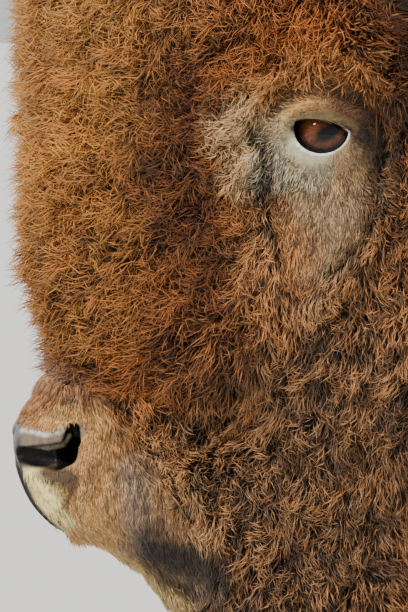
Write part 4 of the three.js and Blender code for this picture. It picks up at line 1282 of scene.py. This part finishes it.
def grow(piece, verts, name, spec):
    roots, normals, dice = scattered(piece, verts, spec)
    count, rings = len(roots), spec["rings"]
    w = weights(roots)
    depth = blended(w, "depth")
    length = blended(w, "length") * dice.uniform(0.65, 1.25, count) * spec["size"]
    width = blended(w, "width") * dice.uniform(0.7, 1.3, count) * spec["thin"]
    pull = blended(w, "pull")
    clumpSize = np.exp(np.round(np.log(blended(w, "clump")) * 3) / 3) * spec["clump"]
    clump = clumpsOf(roots, clumpSize, spec["seed"])
    clumps = clump.max() + 1
    curl = blended(w, "curl") * (0.8 * dice.normal(size=clumps)[clump] + 0.6 * dice.normal(size=count))
    lowLift, highLift = spec["lift"]
    high = lowLift + (highLift - lowLift) * dice.random(clumps)[clump] + 0.12 * dice.normal(size=count)
    # the locks also set the tone below: raised locks painted paler as light, the gaps between them painted
    # darker as shade
    locks = waves(roots, 0.030, 61)  # higher and paler locks, with lower and darker gaps between
    high = high.clip(0.12, spec["most"]) * (1 + 0.16 * locks)
    lift = depth * high
    start = depth * spec["start"]
    way = lieAt(roots, w)
    wild = blended(w, "wild")
    for axis in range(3):
        drift = 0.8 * waves(roots, 0.05, 40 + axis) + dice.normal(size=count)
        way[:, axis] += wild * (drift + 0.8 * dice.normal(size=clumps)[clump])
    field = skinField if spec["hug"] else overHorns
    base = np.zeros(count) if spec["hug"] else -depth
    here = roots + normals * start[:, None]
    path = [here - normals * 0.0012]
    out = normals
    for step in range(1, rings + 1):
        s = step / rings
        outward = (way * out).sum(1)
        along = unitOf(way - out * (outward - 0.4 * outward.clip(0, 1))[:, None])
        turn = (curl * (s - 0.3))[:, None]
        along = along * np.cos(turn) + np.cross(out, along) * np.sin(turn)
        here = here + along * (length / rings)[:, None]
        near, slope = slopeOf(field, here, 1e-3)
        out = unitOf(slope)
        wanted = base + start + (lift - start) * (1 - (1 - s) ** 1.7)
        rise = np.maximum(wanted - near, -0.35 * length / rings)
        if not spec["hug"]:
            rise = np.maximum(rise, 0.0010 + 0.0010 * s - solidUnder(here))
        here = here + out * rise.clip(-0.05, 0.05)[:, None]
        path.append(here)
    path = np.stack(path, 1)
    for step in range(1, rings + 1):
        share = (pull * (step / rings) ** 1.2)[:, None]
        sums = np.stack([np.bincount(clump, path[:, step, axis], clumps) for axis in range(3)], 1)
        mean = sums / np.bincount(clump, minlength=clumps)[:, None]
        path[:, step] += (mean[clump] - path[:, step]) * share
    tone = colourAt(roots, w)
    uneven = spec["clumpTone"] * dice.normal(size=clumps)[clump] + spec["spread"] * dice.normal(size=count)
    # painted light and shade: paler on raised locks and darker in the gaps, where the coat is deep
    uneven = uneven + 0.28 * locks * smooth(0.004, 0.016, depth)
    tone = tone * (1 + uneven).clip(0.3, 2.0)[:, None]
    warm = 0.05 * dice.normal(size=clumps)[clump]
    tone = tone * np.stack((1 + warm, np.ones(count), 1 - 1.5 * warm), 1)
    # painted shade: roots darker where the coat is deep, and tufts that stay low darker still; the paler tips
    # are partly the hair's own paler ends and partly painted highlight
    thick = smooth(0.004, 0.020, depth)
    sunkShade = 1 - thick * (0.9 - high).clip(0, 0.6) * 0.6
    rootShade = (1 - thick * (1 - spec["rootShade"]) * (1 - 0.6 * w["patch"])) * sunkShade
    tipShade = (1 + (0.25 + 0.75 * thick) * spec["tipLight"] * dice.uniform(0.4, 1.6, count)) * sunkShade
    made = spikes(name, path, out, width, tone, (rootShade, tipShade), spec["unwrap"](roots))
    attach(made, "root")
    made.data.materials.append(coatMaterial(spec["slot"]))
    return made


lashes = {
    "count": 90, "rings": 3, "seed": 301,
    "along": (-0.014, 0.0185),  # of the lid, from front to rear
    "length": (0.005, 0.009), "width": 0.0006,
    "tone": (92, 72, 54),
    "slot": "mop_hair",
}


def makeLashes(side):  # lashes along the upper lid, longest over the rear of the eye
    sign = 1 if side == "left" else -1
    dice = np.random.default_rng(lashes["seed"])
    count, rings = lashes["count"], lashes["rings"]
    u = dice.uniform(*lashes["along"], count)
    lid = lids["upper"]
    arc = np.sqrt(1 - ((u - lid["centre"][0]) / lid["wide"]) ** 2)
    v = lid["centre"][1] + lid["high"] * arc + dice.uniform(0.0002, 0.0020, count)
    reach = eyeRadius + lids["cover"] * 0.6
    deep = np.sqrt(np.maximum(reach ** 2 - u * u - v * v, 1e-6))
    toward = (u[:, None] * gaze["back"] + v[:, None] * gaze["up"] + deep[:, None] * gaze["out"]) / reach
    rear = smooth(-0.012, 0.016, u)[:, None]
    way = toward * 0.55 + gaze["back"] * (0.25 + 0.5 * rear) - gaze["up"] * (0.35 - 0.1 * rear)
    way = unitOf(way + 0.14 * dice.normal(size=(count, 3)))
    length = dice.uniform(*lashes["length"], count)[:, None] * (0.6 + 0.7 * rear)
    path = []
    for step in range(rings + 1):
        t = step / rings
        path.append(toward * reach + way * length * t + toward * length * 0.22 * t * t)
    path = np.stack(path, 1) + np.array((eye[0], 0, 0))
    flip = np.array((sign, -1, -1))
    path = path * flip + np.array((0, eye[1], eye[2]))
    tone = np.tile(shade(*lashes["tone"]), (count, 1)) * dice.uniform(0.5, 1.5, count)[:, None]
    shades = (np.full(count, 0.5), np.full(count, 1.5))
    made = spikes(f"lashes_{side}", path, toward * flip, np.full(count, lashes["width"]), tone, shades,
                  unwrapHead(path[:, 0]))
    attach(made, "root")
    made.data.materials.append(coatMaterial(lashes["slot"]))


hair = {
    "roughness": {"mop_hair": 0.55, "mane_hair": 0.62, "body_hair": 0.60, "dark_hair": 0.58},
    "uneven": 0.12,  # how far the roughness strays
    "strands": 700, "mottle": 0.35,  # how fine and how strong the streaks along a tuft are
    "gloss": 0.35, "sheen": 0.12,
}
hairMaterials = {}


def coatMaterial(slot):
    if slot in hairMaterials:
        return hairMaterials[slot]
    material, shader, tree = newMaterial(slot)
    colour = attributeNode(tree, "coat").outputs["Color"]
    strands = noiseNode(tree, hair["strands"], detail=2, stretch=(1, 1, 0.35)).outputs["Fac"]
    link(tree, darkenedBy(tree, colour, strands, hair["mottle"]), shader.inputs["Base Color"])
    rough = hair["roughness"][slot]
    spread = rangeNode(tree, strands, rough - hair["uneven"], rough + hair["uneven"])
    link(tree, spread, shader.inputs["Roughness"])
    shader.inputs["Specular IOR Level"].default_value = hair["gloss"]
    shader.inputs["Sheen Weight"].default_value = hair["sheen"]
    hairMaterials[slot] = material
    return material


def onHead(p):
    return (p[:, 1] < skinSpec["neck"] - 0.01) & (p[:, 2] > eye[2] - 0.62)


# which of the head's coats grows at each point; the left one reaches past the middle in front
def headZone(p, side):
    w = weights(p)
    zone = np.full(len(p), "cheek", dtype="<U6")
    zone[np.maximum(w["mop"], w["crown"]) > 0.5] = "mop"
    zone[w["beard"] > 0.5] = "beard"
    zone[eye[2] - p[:, 2] < -0.135] = "crown"
    zone[np.maximum(w["eye"], w["muzzle"]) > 0.5] = "face"
    ours = p[:, 0] > -0.045 * smooth(-0.04, 0.02, eye[1] - p[:, 1])
    zone[~onHead(p) | (ours != (side == "left")) & (side != "both")] = ""
    return zone


def bodyZone(p, side):
    y = p[:, 1] - shiftY
    zone = np.where(y > 0.55, "rear", "mane").astype("<U6")
    zone[p[:, 2] < 0.62] = "legs"
    zone[y > 1.625] = "tail"
    ours = (p[:, 0] >= 0) == (side == "left")
    zone[onHead(p) | ~ours & (side != "both")] = ""
    return zone


# What a piece of the coat has unless it says otherwise.
plainLayer = {
    "size": 1.0, "thin": 1.0, "clump": 1.0,  # of the length, width and clumps of each kind of coat
    "start": 0.0,  # where tufts begin, as a share of the coat's depth
    "lift": (0.40, 0.90), "most": 1.05,  # where they end
    "hug": False,  # whether they lie on the skin itself, folds and all
    "spread": 0.24, "clumpTone": 0.20,  # how uneven the tone is from tuft to tuft and from clump to clump
    # painted shade at the roots, and paler tips, partly the hair's own and partly painted highlight
    "rootShade": 0.35, "tipLight": 0.55,
}


def coat(zoneOf, side, zone, count, rings, slot, unwrap, **more):
    wanted = zone if isinstance(zone, tuple) else (zone,)
    return {**plainLayer, "where": lambda p: np.isin(zoneOf(p, side), wanted), "count": count,
            "rings": rings, "slot": slot, "unwrap": unwrap, **more}


deepLayer = {"size": 1.15, "thin": 1.3, "lift": (0.35, 0.85), "rootShade": 0.22, "tipLight": 0.10}
woolLayer = {"size": 0.52, "thin": 0.85, "start": 0.50, "lift": (0.70, 1.16), "most": 1.25, "spread": 0.26}
coatPieces = {
    "coat_mop_left_deep": coat(headZone, "left", "mop", 7500, 2, "mop_hair", unwrapHead, **deepLayer),
    "coat_mop_left": coat(headZone, "left", "mop", 19500, 2, "mop_hair", unwrapHead, **woolLayer,
                          tipLight=0.6),
    "coat_mop_left_tips": coat(headZone, "left", "mop", 14500, 2, "mop_hair", unwrapHead,
                               **{**woolLayer, "size": 0.62}, clump=0.6, tipLight=0.9),
    "coat_cheek_left_deep": coat(headZone, "left", "cheek", 7000, 2, "mop_hair", unwrapHead, **deepLayer),
    "coat_cheek_left": coat(headZone, "left", "cheek", 19500, 2, "mop_hair", unwrapHead,
                            **{**woolLayer, "size": 0.62, "spread": 0.34}, clump=0.8, clumpTone=0.34,
                            rootShade=0.38, tipLight=1.2),
    "coat_face_left": coat(headZone, "left", "face", 18500, 2, "mop_hair", unwrapHead, hug=True,
                           tipLight=0.9, spread=0.3),
    "coat_head_right": coat(headZone, "right", ("mop", "cheek"), 9000, 2, "mop_hair", unwrapHead,
                            size=1.25, thin=1.7, lift=(0.5, 1.0)),
    "coat_face_right": coat(headZone, "right", "face", 4500, 2, "mop_hair", unwrapHead, size=1.4, thin=1.7,
                            hug=True),
    "coat_crown": coat(headZone, "both", "crown", 5800, 3, "mop_hair", unwrapHead, lift=(0.5, 1.05)),
    "coat_beard": coat(headZone, "both", "beard", 3000, 3, "dark_hair", unwrapHead, size=1.1),
    "coat_mane_left": coat(bodyZone, "left", "mane", 5200, 3, "mane_hair", unwrapBody, size=1.15),
    "coat_mane_right": coat(bodyZone, "right", "mane", 5200, 3, "mane_hair", unwrapBody, size=1.15),
    "coat_rear_left": coat(bodyZone, "left", "rear", 5600, 2, "body_hair", unwrapBody),
    "coat_rear_right": coat(bodyZone, "right", "rear", 5600, 2, "body_hair", unwrapBody),
    "coat_legs": coat(bodyZone, "both", "legs", 6200, 2, "dark_hair", unwrapLegs, size=1.1, lift=(0.5, 1.0)),
    "coat_tail": coat(bodyZone, "both", "tail", 1200, 3, "dark_hair", unwrapBody, lift=(0.5, 1.0)),
}
for number, pieceSpec in enumerate(coatPieces.values()):
    pieceSpec["seed"] = 101 + 17 * number


eyeball = {
    "turns": 96, "rings": 64, "cornea": 0.0012,
    "iris": {"at": (0.03, 0.14), "size": (0.84, 0.73), "turn": 0.0},
    "pupil": {"at": (0.20, -0.04), "size": (0.44, 0.21), "turn": 28.0},
    "pupilTone": (0.004, 0.003, 0.003, 1), "pupilEdge": (1.45, 0.75),
    "tones": [(0.0, (0.060, 0.020, 0.008)), (0.45, (0.180, 0.060, 0.016)), (0.78, (0.110, 0.036, 0.016)),
              (0.92, (0.050, 0.018, 0.010)), (0.99, (0.008, 0.006, 0.006))],  # from the middle outwards
    "streaks": 9, "streakStrength": 0.8,
    "roughness": 0.35, "wetIndex": 1.36, "wetRoughness": 0.03,
}


def makeEye(side):
    sign = 1 if side == "left" else -1
    centre = np.array((eye[0] * sign, eye[1], eye[2]))
    turns, rings = eyeball["turns"], eyeball["rings"]
    bearings = [np.array((v[0] * sign, -v[1], -v[2])) for v in (gaze["back"], gaze["up"], gaze["out"])]
    points, local = [], []
    for ring in range(1, rings):
        polar = math.pi * ring / rings
        for k in range(turns):
            turn = 2 * math.pi * k / turns
            local.append((math.sin(polar) * math.cos(turn), math.sin(polar) * math.sin(turn),
                          math.cos(polar)))
    local = np.array([(0, 0, 1)] + local + [(0, 0, -1)])
    radial = np.hypot(local[:, 0], local[:, 1])
    bulge = np.where(local[:, 2] > 0, eyeball["cornea"] * smooth(0.80, 0.45, radial), 0)
    points = centre + (local @ np.array(bearings)) * (eyeRadius - 0.0006 + bulge)[:, None]
    faces, counts = [], []
    last = len(points) - 1
    for k in range(turns):
        after = (k + 1) % turns
        faces += [0, 1 + k, 1 + after] if sign > 0 else [0, 1 + after, 1 + k]
        counts.append(3)
        for ring in range(rings - 2):
            a, b = 1 + ring * turns + k, 1 + ring * turns + after
            quad = [a, a + turns, b + turns, b]
            faces += quad if sign > 0 else quad[::-1]
            counts.append(4)
        end = [last, last - turns + after, last - turns + k]
        faces += end if sign > 0 else end[::-1]
        counts.append(3)
    piece = meshObject(f"eyeball_{side}", points, faces, counts)
    layer = piece.data.attributes.new("look", "FLOAT_VECTOR", "POINT")
    layer.data.foreach_set("vector", local.astype(np.float32).ravel())
    piece.data.materials.append(eyeMaterial())
    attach(piece, "root")
    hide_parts(f"eye_{side}")


def ovalNode(tree, x, y, oval):  # how far out a place is on a turned oval, 1 at its edge
    off = [mathNode(tree, "SUBTRACT", place, at) for place, at in zip((x, y), oval["at"])]
    turn = math.radians(oval["turn"])
    squares = []
    for (a, b), size in zip(((math.cos(turn), math.sin(turn)), (-math.sin(turn), math.cos(turn))),
                            oval["size"]):
        along = mathNode(tree, "MULTIPLY_ADD", off[0], a / size, mathNode(tree, "MULTIPLY", off[1], b / size))
        squares.append(mathNode(tree, "MULTIPLY", along, along))
    return mathNode(tree, "SQRT", mathNode(tree, "ADD", *squares))


def eyeMaterial():
    made = bpy.data.materials.get("eyeGloss")
    if made:
        return made
    material, shader, tree = newMaterial("eyeGloss")
    look = attributeNode(tree, "look")
    parts = tree.nodes.new("ShaderNodeSeparateXYZ")
    link(tree, look.outputs["Vector"], parts.inputs["Vector"])
    x, y = parts.outputs[0], parts.outputs[1]
    r = ovalNode(tree, x, y, eyeball["iris"])
    # streaks run outwards: noise over the direction alone, and only a little over the radius
    way = tree.nodes.new("ShaderNodeCombineXYZ")
    link(tree, mathNode(tree, "DIVIDE", x, r), way.inputs["X"])
    link(tree, mathNode(tree, "DIVIDE", y, r), way.inputs["Y"])
    link(tree, mathNode(tree, "MULTIPLY", r, 0.25), way.inputs["Z"])
    streaks = tree.nodes.new("ShaderNodeTexNoise")
    streaks.inputs["Scale"].default_value = eyeball["streaks"]
    streaks.inputs["Detail"].default_value = 5
    link(tree, way.outputs["Vector"], streaks.inputs["Vector"])
    iris = rampNode(tree, r, eyeball["tones"])
    streaked = rampNode(tree, streaks.outputs["Fac"], [(0.30, (0.25, 0.22, 0.22)), (0.68, (1, 1, 1))])
    inPupil = rangeNode(tree, ovalNode(tree, x, y, eyeball["pupil"]), *eyeball["pupilEdge"], name="From")
    dark = tree.nodes.new("ShaderNodeMix")
    dark.data_type = "RGBA"
    dark.inputs["B"].default_value = eyeball["pupilTone"]
    link(tree, inPupil, dark.inputs["Factor"])
    link(tree, darkenedBy(tree, iris, streaked, eyeball["streakStrength"]), dark.inputs["A"])
    link(tree, dark.outputs["Result"], shader.inputs["Base Color"])
    shader.inputs["Roughness"].default_value = eyeball["roughness"]
    shader.inputs["Specular IOR Level"].default_value = 0.0
    shader.inputs["Coat Weight"].default_value = 1.0
    shader.inputs["Coat IOR"].default_value = eyeball["wetIndex"]
    shader.inputs["Coat Roughness"].default_value = eyeball["wetRoughness"]
    return material


horn = {
    "radius": 0.046, "rings": 72, "turns": 48,
    "taper": 0.62,
    # how high they are, how soon they fade and how closely they stand
    "ridges": (0.0011, 4, 150), "swells": (0.0006, 2, 61),
    "dark": (0.014, 0.012, 0.010), "pale": (0.085, 0.068, 0.054), "roughness": 0.40, "streaks": 26,
}


def makeHorn(side):
    sign = 1 if side == "left" else -1
    marks = np.array([face(*point) for point in hornAxis])
    steps = np.linalg.norm(np.diff(marks, axis=0), axis=1)
    run = np.concatenate(([0], np.cumsum(steps))) / steps.sum()
    slopes = np.gradient(marks, run, axis=0)
    points, faces, counts = [], [], []
    rings, turns = horn["rings"], horn["turns"]
    (tall, fade, pitch), (swell, swellFade, swellPitch) = horn["ridges"], horn["swells"]
    for ring in range(rings):
        t = 1 - (1 - ring / (rings - 1)) ** 1.25
        t = min(t, 0.9995)
        place = min(int(np.searchsorted(run, t, "right")) - 1, len(run) - 2)
        span = run[place + 1] - run[place]
        h = (t - run[place]) / span
        a, b = marks[place], marks[place + 1]
        ta, tb = slopes[place] * span, slopes[place + 1] * span
        centre = (2 * h ** 3 - 3 * h ** 2 + 1) * a + (h ** 3 - 2 * h ** 2 + h) * ta
        centre = centre + (-2 * h ** 3 + 3 * h ** 2) * b + (h ** 3 - h ** 2) * tb
        along = (6 * h ** 2 - 6 * h) * (a - b) + (3 * h ** 2 - 4 * h + 1) * ta + (3 * h ** 2 - 2 * h) * tb
        along /= np.linalg.norm(along)
        ahead = np.array((0, -1, 0)) + along * along[1]
        ahead /= np.linalg.norm(ahead)
        up = np.cross(ahead, along)
        radius = horn["radius"] * (1 - t) ** horn["taper"] * (1 + 0.06 * math.exp(-t * 12)) + 0.003 * t
        ridge = tall * math.exp(-t * fade) * math.sin(t * pitch)
        ridge += swell * math.exp(-t * swellFade) * math.sin(t * swellPitch + 1)
        for k in range(turns):
            turn = 2 * math.pi * k / turns
            rough = 0.0005 * math.sin(9 * turn + 3 * t) * (1 - t)
            rough += 0.0004 * math.sin(23 * turn - 5 * t) * (1 - t)
            ragged = radius + ridge * (1 + 0.4 * math.sin(turn * 2)) + rough
            points.append(centre + ragged * (up * math.cos(turn) + ahead * math.sin(turn)))
    for ring in range(rings - 1):
        for k in range(turns):
            a, b = ring * turns + k, ring * turns + (k + 1) % turns
            faces += [a, b, b + turns, a + turns]
            counts.append(4)
    points += [np.mean(points[:turns], 0), np.mean(points[-turns:], 0)]
    for k in range(turns):
        after = (k + 1) % turns
        faces += [len(points) - 2, after, k, len(points) - 1, (rings - 1) * turns + k,
                  (rings - 1) * turns + after]
        counts += [3, 3]
    points = np.array(points) * (sign, 1, 1)
    faces = np.array(faces)
    if sign > 0:
        flipped, at = faces.copy(), 0
        for n in counts:
            flipped[at:at + n] = faces[at:at + n][::-1]
            at += n
        faces = flipped
    piece = meshObject(f"horn_sheath_{side}", points, faces, counts)
    piece.data.materials.append(hornyMaterial("hornFinish", horn))
    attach(piece, "root")
    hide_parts(f"horn_{side}")


def hornyMaterial(name, finish):
    made = bpy.data.materials.get(name)
    if made:
        return made
    material, shader, tree = newMaterial(name)
    streaks = noiseNode(tree, finish["streaks"], detail=6, roughness=0.6, stretch=(1, 1, 3))
    fine = noiseNode(tree, finish["streaks"] * 14, detail=3)
    tone = rampNode(tree, streaks.outputs["Fac"], [(0.38, finish["dark"]), (0.78, finish["pale"])])
    link(tree, tone, shader.inputs["Base Color"])
    rough = rangeNode(tree, fine.outputs["Fac"], finish["roughness"] - 0.12, finish["roughness"] + 0.22)
    link(tree, rough, shader.inputs["Roughness"])
    bumpFrom(tree, shader, fine.outputs["Fac"], 0.0006, 0.5)
    return material


hoof = {
    "toeVoxel": 0.003, "clawVoxel": 0.0025, "softening": 6,
    "ringHeight": 0.00035, "ringPitch": 900, "finePitch": 2300,
    "slope": 0.26,  # of the growth rings, from toe to heel
    "sole": 0.0035,  # how much of the foot is pressed flat
    "dark": (0.010, 0.009, 0.008), "pale": (0.055, 0.045, 0.036), "roughness": 0.5, "streaks": 34,
}


def makeHoof(node, voxel):
    piece = newObject(node.replace("hoof", "toe").replace("dewclaw", "claw"),
                      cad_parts[node].data.copy())
    remesh = piece.modifiers.new("remesh", "REMESH")
    remesh.mode = "VOXEL"
    remesh.voxel_size = voxel
    soften = piece.modifiers.new("soften", "SMOOTH")
    soften.factor = 0.5
    soften.iterations = hoof["softening"]
    graph = bpy.context.evaluated_depsgraph_get()
    mesh = bpy.data.meshes.new_from_object(piece.evaluated_get(graph))
    piece.modifiers.clear()
    piece.data = mesh
    points = np.empty(len(mesh.vertices) * 3, np.float32)
    mesh.vertices.foreach_get("co", points)
    points = points.reshape(-1, 3).astype(float)
    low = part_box(node)[0].z
    if low < 0.002:  # growth rings round the wall, and a flat sole
        middle = middleOf(node)
        out = unitOf((points - middle) * (1, 1, 0))
        wall = smooth(0.003, 0.010, points[:, 2] - low)
        ring = np.sin((points[:, 2] + hoof["slope"] * (points[:, 1] - middle[1])) * hoof["ringPitch"])
        ring += 0.5 * np.sin(points[:, 2] * hoof["finePitch"] + points[:, 1] * 300)
        points += out * (hoof["ringHeight"] * ring * wall)[:, None]
        pressed = low + np.maximum(points[:, 2] - low - 0.0012, 0) * 1.5
        points[:, 2] = np.where(points[:, 2] < low + hoof["sole"], pressed, points[:, 2])
    mesh.vertices.foreach_set("co", points.astype(np.float32).ravel())
    mesh.polygons.foreach_set("use_smooth", np.ones(len(mesh.polygons), bool))
    mesh.materials.clear()
    mesh.materials.append(hornyMaterial("hoofFinish", hoof))
    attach(piece, "root")
    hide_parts(node)


# Putting it together.
makeCamera()
makeStage()
say("camera, floor and light")
skin, skinPoints = makeSkin()
paintSkin(skin, skinPoints)
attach(skin, "root")
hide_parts("head", "neck", "trunk", "beard", "tail", "tail_tuft", "ear_left", "ear_right",
            "foreleg_left", "foreleg_right", "hindleg_left", "hindleg_right")
say("skin painted")
for side in ("left", "right"):
    makeEye(side)
    makeLashes(side)
    makeHorn(side)
    for kind in ("fore", "hind"):
        for which in ("inner", "outer"):
            makeHoof(f"hoof_{kind}_{side}_{which}", hoof["toeVoxel"])
            makeHoof(f"dewclaw_{kind}_{side}_{which}", hoof["clawVoxel"])
say("eyes, horns and hooves")
for pieceName, pieceSpec in coatPieces.items():
    grow(skin, skinPoints, pieceName, pieceSpec)
